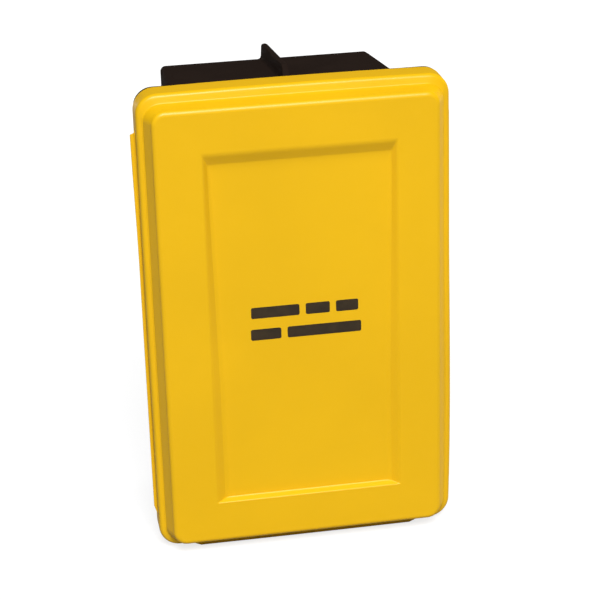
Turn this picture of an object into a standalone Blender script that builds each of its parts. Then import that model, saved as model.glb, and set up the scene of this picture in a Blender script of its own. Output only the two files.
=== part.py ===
"""Wall case for an emergency escape hood, with the hood on its hook inside.

X is to the right, Y runs into the wall and Z is up. The origin is the centre of the face that
rests on the wall. Sizes are in millimetres and turned into metres where a mesh is made.
"""

import math

import bmesh
import bpy
from mathutils import Matrix, Vector

MM = 0.001
GAP = 0.3

# Case, from the wall to the front of the door.
DEPTH = 221.0
WALL = 3.0
RIM_HALF_W = 170.0
RIM_HALF_H = 269.3
RIM_RADIUS = 23.0
RIM_FILLET = 4.0

# Door: the raised face, its recessed panel, and where the ledge and the rear edge lie behind it.
FACE_HALF_W = 156.5
FACE_HALF_H = 258.3
FACE_CENTRE_Z = -1.8
FACE_RADIUS = 16.0
FACE_FILLET = 5.0
FACE_SIDE_DRAFT = 5.5
FACE_END_DRAFT = 2.5
LEDGE_DEPTH = 18.5
DOOR_DEPTH = 50.0
PANEL_HALF_W = 105.5
PANEL_HALF_H = 208.0
PANEL_CENTRE_X = 2.0
PANEL_CENTRE_Z = -2.3
PANEL_SLOPE = 9.0
PANEL_DEPTH = 6.0
SIDE_LIP_DEPTH = 34.0
BOTTOM_LIP_DEPTH = 22.0
LIP_THICK = 3.0
LEFT_LIP_REACH = 5.5
RIGHT_LIP_REACH = 2.8
BOTTOM_LIP_REACH = 4.8
LIP_TAPER = 11.0
SIDE_LIP_HALF = 223.0
BOTTOM_LIP_HALF = 123.0

# Back shell: flange, and a tub that narrows towards the wall.
GASKET_THICK = 2.5
FLANGE_THICK = 3.5
FLANGE_INSET = 1.5
FLANGE_FILLET = 6.0
TUB_BACK_HALF_W = 121.5
TUB_BACK_HALF_H = 242.7
TUB_FRONT_HALF_W = 130.0
TUB_FRONT_HALF_H = 259.7
TUB_WALL = 3.5
RIB_HALF_W = 4.0
RIB_HEIGHT = 18.0
WALL_HOLE_X = 85.0
WALL_HOLE_Z = 190.0
WALL_HOLE_RADIUS = 3.5

FACE_Y = -DEPTH
LEDGE_Y = FACE_Y + LEDGE_DEPTH
DOOR_REAR_Y = FACE_Y + DOOR_DEPTH
FLANGE_FRONT_Y = DOOR_REAR_Y + GASKET_THICK + 0.5
FLANGE_REAR_Y = FLANGE_FRONT_Y + FLANGE_THICK
SIDE_LIP_Y = FACE_Y + SIDE_LIP_DEPTH
BOTTOM_LIP_Y = FACE_Y + BOTTOM_LIP_DEPTH

# Hinge on the right: knuckles moulded on the door and the flange take turns along one pin.
HINGE_X = 173.4
HINGE_Y = -170.3
KNUCKLE_RADIUS = 3.0
KNUCKLE_BORE = 1.4
PIN_RADIUS = 1.1
KNUCKLES = 9
KNUCKLE_PITCH = 45.5
KNUCKLE_END_GAP = 0.25

# Magnetic catches on the left.
CATCH_X = -145.0
CATCH_ZS = {"upper": 150.0, "lower": -150.0}
MAGNET_FRONT_Y = -178.9
STRIKE_REAR_Y = -179.3
STRIKE_THICK = 1.4

# Hook for the hood.
HOOK_Z = 180.0
HOOK_RADIUS = 3.5
HOOK_REACH = 96.0
HOOK_TIP_RISE = 16.0
PLATE_HALF_W = 22.0
PLATE_LOW_Z = 150.0
PLATE_HIGH_Z = 212.0
HOOK_SCREW_ZS = {"upper": 203.0, "lower": 159.0}

# Hood bag: half width and half depth at each height under the crown.
HOOD_Y = -75.0
CROWN_Z = 150.0
HOOD_WALL = 2.0
HOOD_LEVELS = (
    (0.0, 20.0, 12.0),
    (4.0, 45.0, 28.0),
    (20.0, 72.0, 45.0),
    (50.0, 88.0, 57.0),
    (90.0, 96.0, 62.0),
    (140.0, 97.0, 62.0),
    (190.0, 93.0, 61.0),
    (240.0, 87.0, 57.0),
    (285.0, 82.0, 53.0),
    (325.0, 84.0, 55.0),
)
HOOD_ROUNDNESS = 2.3
HOOD_SIDES = 32
VISOR_TOP_Z = 115.0
VISOR_LOW_Z = 25.0
VISOR_HALF_ANGLE = 0.80
FRAME_WIDTH_Z = 8.0
FRAME_WIDTH_ANGLE = 0.09

# Filter canister on the hood's front, and the exhale valve under it.
PORT_Z = -35.0
CANISTER_RADIUS = 48.0
EXHALE_Z = -107.0

COLOURS = {
    "yellow_plastic": ((0.85, 0.48, 0.02), 0.38, 0.0),
    "black_plastic": ((0.012, 0.010, 0.009), 0.60, 0.0),
    "gasket_foam": ((0.02, 0.02, 0.02), 0.90, 0.0),
    "steel": ((0.60, 0.60, 0.60), 0.35, 1.0),
    "magnet": ((0.06, 0.06, 0.065), 0.55, 0.0),
    "white_plastic": ((0.75, 0.75, 0.72), 0.45, 0.0),
    "hood_fabric": ((0.80, 0.16, 0.02), 0.70, 0.0),
    "clear_sheet": ((0.80, 0.85, 0.85), 0.08, 0.0),
    "webbing": ((0.03, 0.03, 0.035), 0.85, 0.0),
    "silicone": ((0.025, 0.025, 0.03), 0.50, 0.0),
    "neck_elastic": ((0.05, 0.05, 0.06), 0.85, 0.0),
    "canister_metal": ((0.10, 0.16, 0.11), 0.45, 0.6),
    "carbon": ((0.02, 0.02, 0.02), 0.95, 0.0),
    "filter_paper": ((0.80, 0.78, 0.72), 0.90, 0.0),
    "cap_plastic": ((0.60, 0.03, 0.02), 0.40, 0.0),
}


def clear_scene():
    for obj in list(bpy.data.objects):
        bpy.data.objects.remove(obj)


def new_collection(name):
    collection = bpy.data.collections.new(name)
    bpy.context.scene.collection.children.link(collection)
    return collection


def make_material(name, colour, roughness, metallic):
    material = bpy.data.materials.new(name)
    material.use_nodes = True
    shader = material.node_tree.nodes["Principled BSDF"]
    shader.inputs["Base Color"].default_value = (*colour, 1.0)
    shader.inputs["Roughness"].default_value = roughness
    shader.inputs["Metallic"].default_value = metallic
    return material


clear_scene()
PARTS = new_collection("emergency_hood_case")
CUTTERS = new_collection("cutters")
CUTTERS.hide_render = True
MATERIALS = {name: make_material(name, *look) for name, look in COLOURS.items()}


# Ways to make a piece


def add_object(name, mesh, material=None):
    """A visible part if it has a material, and otherwise a cutter."""
    obj = bpy.data.objects.new(name, mesh)
    if material:
        mesh.materials.append(MATERIALS[material])
        PARTS.objects.link(obj)
    else:
        CUTTERS.objects.link(obj)
        obj.hide_render = True
        obj.display_type = "WIRE"
    return obj


def mesh_from(bm, name, smooth_angle=None):
    bmesh.ops.recalc_face_normals(bm, faces=bm.faces)
    mesh = bpy.data.meshes.new(name)
    bm.to_mesh(mesh)
    bm.free()
    if smooth_angle:
        mesh.shade_smooth()
        mesh.set_sharp_from_angle(angle=math.radians(smooth_angle))
    return mesh


def box(name, low, high, material=None, bevel=0.0):
    """A box between two corners, its origin at its centre."""
    low, high = Vector(low), Vector(high)
    bm = bmesh.new()
    bmesh.ops.create_cube(bm, size=1.0)
    bmesh.ops.scale(bm, vec=(high - low) * MM, verts=bm.verts)
    obj = add_object(name, mesh_from(bm, name), material)
    obj.location = (low + high) / 2 * MM
    if bevel:
        edges = obj.modifiers.new("Round edges", "BEVEL")
        edges.width = bevel * MM
        edges.segments = 2
    return obj


def turned(name, profile, place, towards, material=None, steps=24, closed=False):
    """A profile of (radius, height) turned about an axis through place. It runs down its outer side."""
    bm = bmesh.new()
    points = [bm.verts.new((radius * MM, 0, height * MM)) for radius, height in profile]
    ends = points[1:] + points[:1] if closed else points[1:]
    for start, end in zip(points, ends):
        bm.edges.new((start, end))
    mesh = bpy.data.meshes.new(name)
    bm.to_mesh(mesh)
    bm.free()
    obj = add_object(name, mesh, material)
    obj.location = Vector(place) * MM
    obj.rotation_mode = "QUATERNION"
    obj.rotation_quaternion = Vector(towards).to_track_quat("Z", "Y")
    turn = obj.modifiers.new("Turn", "SCREW")
    turn.steps = steps
    turn.render_steps = steps
    turn.use_merge_vertices = True
    turn.merge_threshold = 0.00001
    turn.use_smooth_shade = True
    return obj


def cylinder(name, radius, place, towards, length, material=None, steps=24):
    """A cylinder that starts at place and runs towards a direction."""
    profile = [(0, length), (radius, length), (radius, 0), (0, 0)]
    return turned(name, profile, place, towards, material, steps)


def loft(name, rings, material=None, closed=False, smooth_angle=35):
    """Skins rings of equally many points. The end rings are capped, or joined to each other if closed."""
    bm = bmesh.new()
    loops = [[bm.verts.new(Vector(p) * MM) for p in ring] for ring in rings]
    following = loops[1:] + loops[:1] if closed else loops[1:]
    for ring, other in zip(loops, following):
        for i in range(len(ring)):
            j = (i + 1) % len(ring)
            bm.faces.new((ring[i], ring[j], other[j], other[i]))
    if not closed:
        bm.faces.new(loops[0])
        bm.faces.new(loops[-1])
    return add_object(name, mesh_from(bm, name, smooth_angle), material)


def prism(name, outline, low_z, high_z, material=None):
    """An outline of (x, y) points, extruded along Z."""
    rings = [[(x, y, z) for x, y in outline] for z in (low_z, high_z)]
    return loft(name, rings, material)


def combine(obj, other, operation):
    change = obj.modifiers.new(f"{operation} {other.name}"[:60], "BOOLEAN")
    change.operation = operation
    change.object = other
    change.solver = "EXACT"


def cut(obj, *cutters):
    for cutter in cutters:
        combine(obj, cutter, "DIFFERENCE")


def join(obj, *additions):
    for addition in additions:
        combine(obj, addition, "UNION")


# Outlines


def rounded_ring(half_w, half_h, radius, y, centre=(0.0, 0.0), steps=5):
    """A rounded rectangle that faces along Y."""
    points = []
    for quarter, (sx, sz) in enumerate(((1, 1), (-1, 1), (-1, -1), (1, -1))):
        for step in range(steps + 1):
            angle = math.radians(90 * quarter + 90 * step / steps)
            x = centre[0] + sx * (half_w - radius) + radius * math.cos(angle)
            z = centre[1] + sz * (half_h - radius) + radius * math.sin(angle)
            points.append((x, y, z))
    return points


def fillet(half_w, half_h, radius, y, size, towards_front, steps=3, centre=(0.0, 0.0)):
    """Rings that turn a side wall into a front face round a fillet. The first is on the wall."""
    sign = -1 if towards_front else 1
    rings = []
    for step in range(steps + 1):
        angle = math.radians(90 * step / steps)
        inset = size * (1 - math.cos(angle))
        depth = size * (1 - math.sin(angle))
        ring_y = y - sign * depth
        rings.append(rounded_ring(half_w - inset, half_h - inset, radius - inset, ring_y, centre))
    return rings


def arc(centre, radius, start, end, steps):
    """Points on an arc in the XY plane, with its angles in degrees."""
    angles = [math.radians(start + (end - start) * i / steps) for i in range(steps + 1)]
    return [(centre[0] + radius * math.cos(a), centre[1] + radius * math.sin(a)) for a in angles]


def knuckle_spans(on_door):
    """Low and high Z of the knuckles of the door or of the shell, which take turns."""
    low = -KNUCKLES * KNUCKLE_PITCH / 2
    first = 1 if on_door else 0
    return [
        (low + k * KNUCKLE_PITCH, low + (k + 1) * KNUCKLE_PITCH) for k in range(first, KNUCKLES, 2)
    ]


def hinge_bore(name):
    length = KNUCKLES * KNUCKLE_PITCH + 20
    place = (HINGE_X, HINGE_Y, -length / 2)
    return cylinder(name, KNUCKLE_BORE, place, (0, 0, 1), length, steps=16)


# Case


def make_door():
    face, panel = (0.0, FACE_CENTRE_Z), (PANEL_CENTRE_X, PANEL_CENTRE_Z)
    ledge_half_w = FACE_HALF_W + FACE_SIDE_DRAFT
    ledge_half_h = FACE_HALF_H + FACE_END_DRAFT
    ledge_radius = FACE_RADIUS + FACE_END_DRAFT
    floor_half_w = PANEL_HALF_W - PANEL_SLOPE
    floor_half_h = PANEL_HALF_H - PANEL_SLOPE
    outside = [rounded_ring(RIM_HALF_W, RIM_HALF_H, RIM_RADIUS, DOOR_REAR_Y)]
    outside += fillet(RIM_HALF_W, RIM_HALF_H, RIM_RADIUS, LEDGE_Y, RIM_FILLET, True)
    outside.append(rounded_ring(ledge_half_w, ledge_half_h, ledge_radius, LEDGE_Y, face))
    outside += fillet(FACE_HALF_W, FACE_HALF_H, FACE_RADIUS, FACE_Y, FACE_FILLET, True, centre=face)
    outside.append(rounded_ring(PANEL_HALF_W, PANEL_HALF_H, 4.0, FACE_Y, panel))
    outside.append(rounded_ring(floor_half_w, floor_half_h, 3.0, FACE_Y + PANEL_DEPTH, panel))
    inner_face_y = FACE_Y + WALL
    inner_floor_y = FACE_Y + PANEL_DEPTH + WALL
    inside = [
        rounded_ring(floor_half_w + 1, floor_half_h + 1, 3.0, inner_floor_y, panel),
        rounded_ring(PANEL_HALF_W + 1, PANEL_HALF_H + 1, 4.0, inner_face_y, panel),
        rounded_ring(FACE_HALF_W - 5, FACE_HALF_H - 5, FACE_RADIUS - 5, inner_face_y, face),
        rounded_ring(FACE_HALF_W - 2, FACE_HALF_H - 2, FACE_RADIUS - 2, inner_face_y + 4, face),
        rounded_ring(
            ledge_half_w - WALL, ledge_half_h - WALL, ledge_radius - WALL, LEDGE_Y + WALL, face
        ),
        rounded_ring(RIM_HALF_W - 4, RIM_HALF_H - 4, RIM_RADIUS - 4, LEDGE_Y + WALL),
        rounded_ring(RIM_HALF_W - WALL, RIM_HALF_H - WALL, RIM_RADIUS - WALL, LEDGE_Y + 5),
        rounded_ring(RIM_HALF_W - WALL, RIM_HALF_H - WALL, RIM_RADIUS - WALL, DOOR_REAR_Y),
    ]
    door = loft("door", outside[::-1] + inside[::-1], "yellow_plastic")
    join(door, *door_lips(), *door_knuckles(), *strike_posts())
    cut(door, hinge_bore("door_hinge_bore"), *strike_screw_holes())
    return door


def door_lips():
    """Thin pull lips that stand out of the skirt on both sides and along the bottom."""
    inner_x, inner_z = RIM_HALF_W - WALL / 2, RIM_HALF_H - WALL / 2
    left, right = RIM_HALF_W + LEFT_LIP_REACH, RIM_HALF_W + RIGHT_LIP_REACH
    bottom = RIM_HALF_H + BOTTOM_LIP_REACH
    half_x, half_z = BOTTOM_LIP_HALF, SIDE_LIP_HALF
    low_z = -half_z - LIP_TAPER
    level = [
        (-half_x - LIP_TAPER, -inner_z),
        (-half_x, -bottom),
        (half_x, -bottom),
        (half_x + LIP_TAPER, -inner_z),
    ]
    lips = {
        "lip_left": (
            SIDE_LIP_Y,
            [(-inner_x, low_z), (-left, -half_z), (-left, half_z), (-inner_x, half_z)],
        ),
        "lip_right": (
            SIDE_LIP_Y,
            [(inner_x, low_z), (right, -half_z), (right, half_z), (inner_x, half_z)],
        ),
        "lip_bottom": (BOTTOM_LIP_Y, level),
    }
    return [
        loft(name, [[(x, y, z) for x, z in outline] for y in (low_y, low_y + LIP_THICK)])
        for name, (low_y, outline) in lips.items()
    ]


def door_knuckles():
    front_y = HINGE_Y - KNUCKLE_RADIUS
    root_x = RIM_HALF_W - WALL / 2
    outline = [(root_x, front_y)]
    outline += arc((HINGE_X, HINGE_Y), KNUCKLE_RADIUS, -90, 170, 13)
    outline.append((root_x, DOOR_REAR_Y - 0.3))
    return [
        prism(f"door_knuckle_{i}", outline, low + KNUCKLE_END_GAP, high - KNUCKLE_END_GAP)
        for i, (low, high) in enumerate(knuckle_spans(True))
    ]


def strike_posts():
    """Blocks inside the door that carry the strike plates."""
    rear_y = STRIKE_REAR_Y - STRIKE_THICK - GAP
    front_y = FACE_Y + WALL / 2
    return [
        box(f"strike_post_{name}", (CATCH_X - 6, front_y, z - 22), (CATCH_X + 6, rear_y, z + 22))
        for name, z in CATCH_ZS.items()
    ]


def strike_screw_zs(z):
    return {"top": z + 17, "bottom": z - 17}


def strike_screw_holes():
    rear_y = STRIKE_REAR_Y - STRIKE_THICK
    return [
        cylinder(f"strike_hole_{name}_{end}", 1.5, (CATCH_X, rear_y + 1, sz), (0, -1, 0), 14, steps=12)
        for name, z in CATCH_ZS.items()
        for end, sz in strike_screw_zs(z).items()
    ]


def make_back_shell():
    flange_w = RIM_HALF_W - FLANGE_INSET
    flange_h = RIM_HALF_H - FLANGE_INSET
    flange_r = RIM_RADIUS - FLANGE_INSET
    inner_w, inner_h = TUB_FRONT_HALF_W - TUB_WALL, TUB_FRONT_HALF_H - TUB_WALL
    floor_w, floor_h = TUB_BACK_HALF_W - TUB_WALL, TUB_BACK_HALF_H - TUB_WALL
    shell = loft(
        "back_shell",
        [
            rounded_ring(TUB_BACK_HALF_W - 1.5, TUB_BACK_HALF_H - 1.5, 4.5, 0),
            rounded_ring(TUB_BACK_HALF_W, TUB_BACK_HALF_H, 6, -1.5),
            *flange_fillet(),
            rounded_ring(flange_w, flange_h, flange_r, FLANGE_REAR_Y),
            rounded_ring(flange_w, flange_h, flange_r, FLANGE_FRONT_Y),
            rounded_ring(inner_w, inner_h, 8.5, FLANGE_FRONT_Y),
            rounded_ring(floor_w, floor_h, 3, -TUB_WALL),
        ],
        "black_plastic",
    )
    join(shell, make_top_rib(), *shell_knuckles())
    cut(shell, hinge_bore("shell_hinge_bore"), *wall_holes(), *shell_screw_holes())
    return shell


def flange_fillet():
    """Rings round the inside corner between the tub's wall and the flange."""
    rings = []
    for step in range(4):
        angle = math.radians(30 * step)
        out = FLANGE_FILLET * (1 - math.cos(angle))
        y = FLANGE_REAR_Y + FLANGE_FILLET * (1 - math.sin(angle))
        rings.append(rounded_ring(TUB_FRONT_HALF_W + out, TUB_FRONT_HALF_H + out, 12 + out, y))
    return rings


def tub_half_height(y):
    """Half height of the tub's outside at a depth."""
    share = y / FLANGE_REAR_Y
    return TUB_BACK_HALF_H + share * (TUB_FRONT_HALF_H - TUB_BACK_HALF_H)


def make_top_rib():
    """A thin rib along the middle of the tub's top, sloped down where it meets the flange."""
    root = TUB_WALL / 2
    end_y = FLANGE_REAR_Y + 1
    side = [
        (-0.5, tub_half_height(-0.5) - root),
        (-0.5, tub_half_height(0) + RIB_HEIGHT),
        (end_y + 22, tub_half_height(end_y + 22) + RIB_HEIGHT),
        (end_y, RIM_HALF_H - 3),
        (end_y, tub_half_height(end_y) - root),
    ]
    rings = [[(x, y, z) for y, z in side] for x in (-RIB_HALF_W, RIB_HALF_W)]
    return loft("top_rib", rings)


def shell_knuckles():
    root_x = RIM_HALF_W - FLANGE_INSET - 1
    outline = [(root_x, FLANGE_REAR_Y - 0.3), (root_x, FLANGE_FRONT_Y + 0.4)]
    outline += arc((HINGE_X, HINGE_Y), KNUCKLE_RADIUS, 170, 390, 11)
    outline.append((RIM_HALF_W, FLANGE_REAR_Y - 0.3))
    return [
        prism(f"shell_knuckle_{i}", outline, low + KNUCKLE_END_GAP, high - KNUCKLE_END_GAP)
        for i, (low, high) in enumerate(knuckle_spans(False))
    ]


def wall_holes():
    return [
        cylinder(f"wall_hole_{i}", WALL_HOLE_RADIUS, (x, 5, z), (0, -1, 0), 15, steps=16)
        for i, (x, z) in enumerate(
            (sx * WALL_HOLE_X, sz * WALL_HOLE_Z) for sx in (-1, 1) for sz in (-1, 1)
        )
    ]


def catch_screw_xs():
    return {"outer": CATCH_X - 10, "inner": CATCH_X + 10}


def shell_screw_holes():
    holes = [
        cylinder(f"catch_hole_{name}_{side}", 1.9, (x, -160, z), (0, -1, 0), 15, steps=12)
        for name, z in CATCH_ZS.items()
        for side, x in catch_screw_xs().items()
    ]
    holes += [
        cylinder(f"hook_hole_{name}", 2.4, (0, 5, z), (0, -1, 0), 15, steps=12)
        for name, z in HOOK_SCREW_ZS.items()
    ]
    return holes


def make_gasket():
    """A flat foam ring on the flange, under the door's rear edge."""
    front, rear = DOOR_REAR_Y + 0.3, FLANGE_FRONT_Y - 0.3
    outer, inner = 3.0, 9.0
    rings = [
        rounded_ring(RIM_HALF_W - inset, RIM_HALF_H - inset, RIM_RADIUS - inset, y)
        for inset, y in ((outer, front), (outer, rear), (inner, rear), (inner, front))
    ]
    return loft("door_gasket", rings, "gasket_foam", closed=True)


def make_hinge_pin():
    half = KNUCKLES * KNUCKLE_PITCH / 2
    head_r, head_h = 2.2, 1.2
    profile = [
        (0, half + 0.3 + head_h),
        (head_r, half + 0.3 + head_h),
        (head_r, half + 0.3),
        (PIN_RADIUS, half + 0.3),
        (PIN_RADIUS, -half - 0.8),
        (0, -half - 0.8),
    ]
    return turned("hinge_pin", profile, (HINGE_X, HINGE_Y, 0), (0, 0, 1), "steel", steps=16)


def screw(name, seat, towards, shank_r, length, head_r, head_h):
    """A pan head screw. Its head sits on seat and its shank runs back from there."""
    profile = [
        (0, head_h),
        (head_r * 0.7, head_h),
        (head_r, head_h * 0.4),
        (head_r, 0),
        (shank_r, 0),
        (shank_r, -length + shank_r),
        (0, -length),
    ]
    obj = turned(name, profile, seat, towards, "steel", steps=16)
    slot_depth = head_h * 0.45
    for turn, wide in (("a", (head_r, 0.5)), ("b", (0.5, head_r))):
        slot = box(
            f"{name}_slot_{turn}",
            (-wide[0] * 0.6, -wide[1] * 0.6, head_h - slot_depth),
            (wide[0] * 0.6, wide[1] * 0.6, head_h + 1),
        )
        slot.matrix_world = obj_matrix(seat, towards) @ Matrix.Translation(
            (0, 0, (head_h - slot_depth + head_h + 1) / 2 * MM)
        )
        cut(obj, slot)
    return obj


def obj_matrix(place, towards):
    """The matrix of a turned piece at place, with its local Z towards a direction."""
    turn = Vector(towards).to_track_quat("Z", "Y").to_matrix().to_4x4()
    return Matrix.Translation(Vector(place) * MM) @ turn


def make_catch(name, z):
    """Magnet housing with its screws on the flange, and strike plate with its screws on the door."""
    base_front = FLANGE_FRONT_Y - GAP - 3.0
    housing = box(
        f"catch_housing_{name}",
        (CATCH_X - 14, base_front, z - 9),
        (CATCH_X + 14, FLANGE_FRONT_Y - GAP, z + 9),
        "white_plastic",
    )
    block = box(
        f"catch_block_{name}", (CATCH_X - 6, -178.3, z - 12), (CATCH_X + 6, base_front + 1.5, z + 12)
    )
    pocket = box(f"catch_pocket_{name}", (CATCH_X - 3.5, -185, z - 9), (CATCH_X + 3.5, -171.8, z + 9))
    join(housing, block)
    cut(housing, pocket)
    magnet_low = (CATCH_X - 3.2, MAGNET_FRONT_Y, z - 8.7)
    box(f"catch_magnet_{name}", magnet_low, (CATCH_X + 3.2, -172.1, z + 8.7), "magnet", bevel=0.5)
    for side, x in catch_screw_xs().items():
        hole = cylinder(f"housing_hole_{name}_{side}", 1.9, (x, -160, z), (0, -1, 0), 15, steps=12)
        cut(housing, hole)
        seat = (x, base_front - GAP, z)
        screw(f"catch_screw_{name}_{side}", seat, (0, -1, 0), 1.5, 8.5, 3.0, 1.8)
    strike_front = STRIKE_REAR_Y - STRIKE_THICK
    strike = box(
        f"strike_plate_{name}",
        (CATCH_X - 6, strike_front, z - 21),
        (CATCH_X + 6, STRIKE_REAR_Y, z + 21),
        "steel",
        bevel=0.3,
    )
    for end, sz in strike_screw_zs(z).items():
        hole = cylinder(f"plate_hole_{name}_{end}", 1.6, (CATCH_X, -170, sz), (0, -1, 0), 20, steps=12)
        cut(strike, hole)
        seat = (CATCH_X, STRIKE_REAR_Y + GAP, sz)
        screw(f"strike_screw_{name}_{end}", seat, (0, 1, 0), 1.2, 10, 2.6, 1.4)


def make_hook():
    """A steel plate on the back wall with a round hook that turns up at its end."""
    rear_y = -TUB_WALL - GAP
    plate = box(
        "hook_bracket",
        (-PLATE_HALF_W, rear_y - 2, PLATE_LOW_Z),
        (PLATE_HALF_W, rear_y, PLATE_HIGH_Z),
        "steel",
        bevel=0.5,
    )
    bend = 8.0
    path = [(rear_y - 0.8, HOOK_Z), (-HOOK_REACH + bend, HOOK_Z)]
    path += [
        (-HOOK_REACH + bend - bend * math.sin(a), HOOK_Z + bend * (1 - math.cos(a)))
        for a in (math.radians(step) for step in (22.5, 45, 67.5, 90))
    ]
    path.append((-HOOK_REACH, HOOK_Z + HOOK_TIP_RISE))
    join(plate, rod("hook_rod", [(0, y, z) for y, z in path], HOOK_RADIUS))
    for name, z in HOOK_SCREW_ZS.items():
        cut(plate, cylinder(f"plate_screw_hole_{name}", 2.4, (0, 5, z), (0, -1, 0), 15, steps=12))
        screw(f"hook_screw_{name}", (0, rear_y - 2 - GAP, z), (0, -1, 0), 2.0, 5.5, 4.0, 2.2)


def rod(name, path, radius):
    """A round rod along a path, as a closed mesh that a Boolean can take."""
    curve = bpy.data.curves.new(name, "CURVE")
    curve.dimensions = "3D"
    curve.bevel_depth = radius * MM
    curve.bevel_resolution = 2
    curve.use_fill_caps = True
    spline = curve.splines.new("POLY")
    spline.points.add(len(path) - 1)
    for point, place in zip(spline.points, path):
        point.co = (*(Vector(place) * MM), 1)
    guide = bpy.data.objects.new(name + "_guide", curve)
    CUTTERS.objects.link(guide)
    bpy.context.view_layer.update()
    mesh = bpy.data.meshes.new_from_object(guide.evaluated_get(bpy.context.evaluated_depsgraph_get()))
    bpy.data.objects.remove(guide)
    bm = bmesh.new()
    bm.from_mesh(mesh)
    bmesh.ops.remove_doubles(bm, verts=bm.verts, dist=0.00001)
    bmesh.ops.recalc_face_normals(bm, faces=bm.faces)
    bm.to_mesh(mesh)
    bm.free()
    return add_object(name, mesh)


# Hood


def hood_size(z):
    """Half width and half depth of the bag at a height."""
    under = CROWN_Z - z
    for (top, w0, d0), (low, w1, d1) in zip(HOOD_LEVELS, HOOD_LEVELS[1:]):
        if under <= low:
            share = (under - top) / (low - top)
            return w0 + share * (w1 - w0), d0 + share * (d1 - d0)
    return HOOD_LEVELS[-1][1:]


def hood_point(angle, z, offset=0.0):
    """A point on the bag's outside, pushed out by offset. Angle 0 is the front."""
    half_w, half_d = hood_size(z)
    power = 2 / HOOD_ROUNDNESS
    side, front = math.sin(angle), math.cos(angle)
    x = math.copysign(abs(side) ** power, side) * (half_w + offset)
    y = math.copysign(abs(front) ** power, front) * (half_d + offset)
    return (x, HOOD_Y - y, z)


def hood_ring(z, offset):
    return [hood_point(2 * math.pi * i / HOOD_SIDES, z, offset) for i in range(HOOD_SIDES)]


def hood_patch(name, half_angle, low_z, high_z, inner, outer, material=None, front_angle=0.0):
    """A curved sheet that follows the bag between two heights, with square edges."""
    columns = 16
    between = [CROWN_Z - level[0] for level in HOOD_LEVELS if low_z < CROWN_Z - level[0] < high_z]
    heights = [high_z, *between, low_z]
    rings = []
    for column in range(columns + 1):
        angle = front_angle + half_angle * (2 * column / columns - 1)
        outside = [hood_point(angle, z, outer) for z in heights]
        inside = [hood_point(angle, z, inner) for z in reversed(heights)]
        rings.append(outside + inside)
    return loft(name, rings, material)


def make_hood_bag():
    """The bag, open at the neck, with a window and two ports in its front."""
    levels = [CROWN_Z - level[0] for level in HOOD_LEVELS]
    outside = [hood_ring(z, 0) for z in levels]
    inside = [hood_ring(max(z - HOOD_WALL, levels[-1]), -HOOD_WALL) for z in levels]
    inside[0] = hood_ring(levels[0] - HOOD_WALL, -HOOD_WALL)
    bag = loft("hood_bag", outside + inside[::-1], "hood_fabric", smooth_angle=60)
    window = hood_patch(
        "bag_window", VISOR_HALF_ANGLE - 0.04, VISOR_LOW_Z + 4, VISOR_TOP_Z - 4, -12, 12
    )
    port = cylinder("bag_port", 21.5, (0, -110, PORT_Z), (0, -1, 0), 50, steps=24)
    valve_port = cylinder("bag_valve_port", 15, (0, -110, EXHALE_Z), (0, -1, 0), 50, steps=20)
    cut(bag, window, port, valve_port)
    return bag


def make_visor():
    """A clear sheet butted into a frame that lies on the bag."""
    frame = hood_patch(
        "visor_frame", VISOR_HALF_ANGLE, VISOR_LOW_Z, VISOR_TOP_Z, 1.0, 3.4, "silicone"
    )
    half_angle = VISOR_HALF_ANGLE - FRAME_WIDTH_ANGLE
    low_z, high_z = VISOR_LOW_Z + FRAME_WIDTH_Z, VISOR_TOP_Z - FRAME_WIDTH_Z
    window = hood_patch("frame_window", half_angle + 0.012, low_z - 0.5, high_z + 0.5, -4, 9)
    cut(frame, window)
    hood_patch("visor_lens", half_angle, low_z, high_z, 1.2, 2.6, "clear_sheet")


def make_neck_seal():
    """An elastic collar inside the bag's open end."""
    low_z = CROWN_Z - HOOD_LEVELS[-1][0] + 4
    outer, inner, thick = -HOOD_WALL - 0.8, -32.0, 1.6
    rings = [
        hood_ring(low_z + 12, outer),
        hood_ring(low_z, outer),
        hood_ring(low_z - 2, inner),
        hood_ring(low_z - 2 + thick, inner),
        hood_ring(low_z + thick, outer - thick),
        hood_ring(low_z + 12, outer - thick),
    ]
    return loft("neck_seal", rings, "neck_elastic", closed=True)


def make_carry_loop():
    """A webbing loop over the hook, sewn on the crown."""
    half_y, thick = 10.0, 2.0
    low_z = CROWN_Z + 0.6
    high_z = HOOK_Z + HOOK_RADIUS + GAP + thick
    centre = (0, (low_z + high_z) / 2)
    half_h = (high_z - low_z) / 2
    rings = [
        rounded_ring(20 - inset, half_h - inset, 12 - inset, HOOD_Y + side * half_y, centre)
        for inset, side in ((0, -1), (0, 1), (thick, 1), (thick, -1))
    ]
    return loft("carry_loop", rings, "webbing", closed=True)


def make_head_strap():
    """An elastic band inside the bag that holds the nose cup on, open in front."""
    half_angle = math.pi - 0.95
    return hood_patch(
        "head_strap", half_angle, -20, 0, -14, -12.4, "webbing", front_angle=math.pi
    )


# Filter and valves. Each is turned about an axis that points out of the hood's front.


def make_port_parts():
    out = (0, -1, 0)
    port = (0, 0, PORT_Z)
    adapter_profile = [
        (16, 150), (20, 150), (20, 141), (30, 141), (30, 137.6), (20.5, 137.6), (20.5, 119),
        (16, 119), (16, 131), (11, 131), (11, 133), (16, 133),
    ]
    turned("canister_adapter", adapter_profile, port, out, "black_plastic", 24, closed=True)
    nut_profile = [(21, 131.5), (29, 131.5), (29, 127), (21, 127)]
    turned("adapter_nut", nut_profile, port, out, "black_plastic", 24, closed=True)
    cylinder("inhale_valve", 15.2, (0, -129.4, PORT_Z), out, 1.2, "silicone", 24)
    cup_profile = [
        (21, 126.4), (23.5, 126.4), (26, 122), (36, 104), (41, 86), (43.5, 80), (41, 80), (38, 86),
        (33.5, 104), (24, 120.5), (21, 120.5),
    ]
    turned("nose_cup", cup_profile, port, out, "silicone", 24, closed=True)


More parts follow.
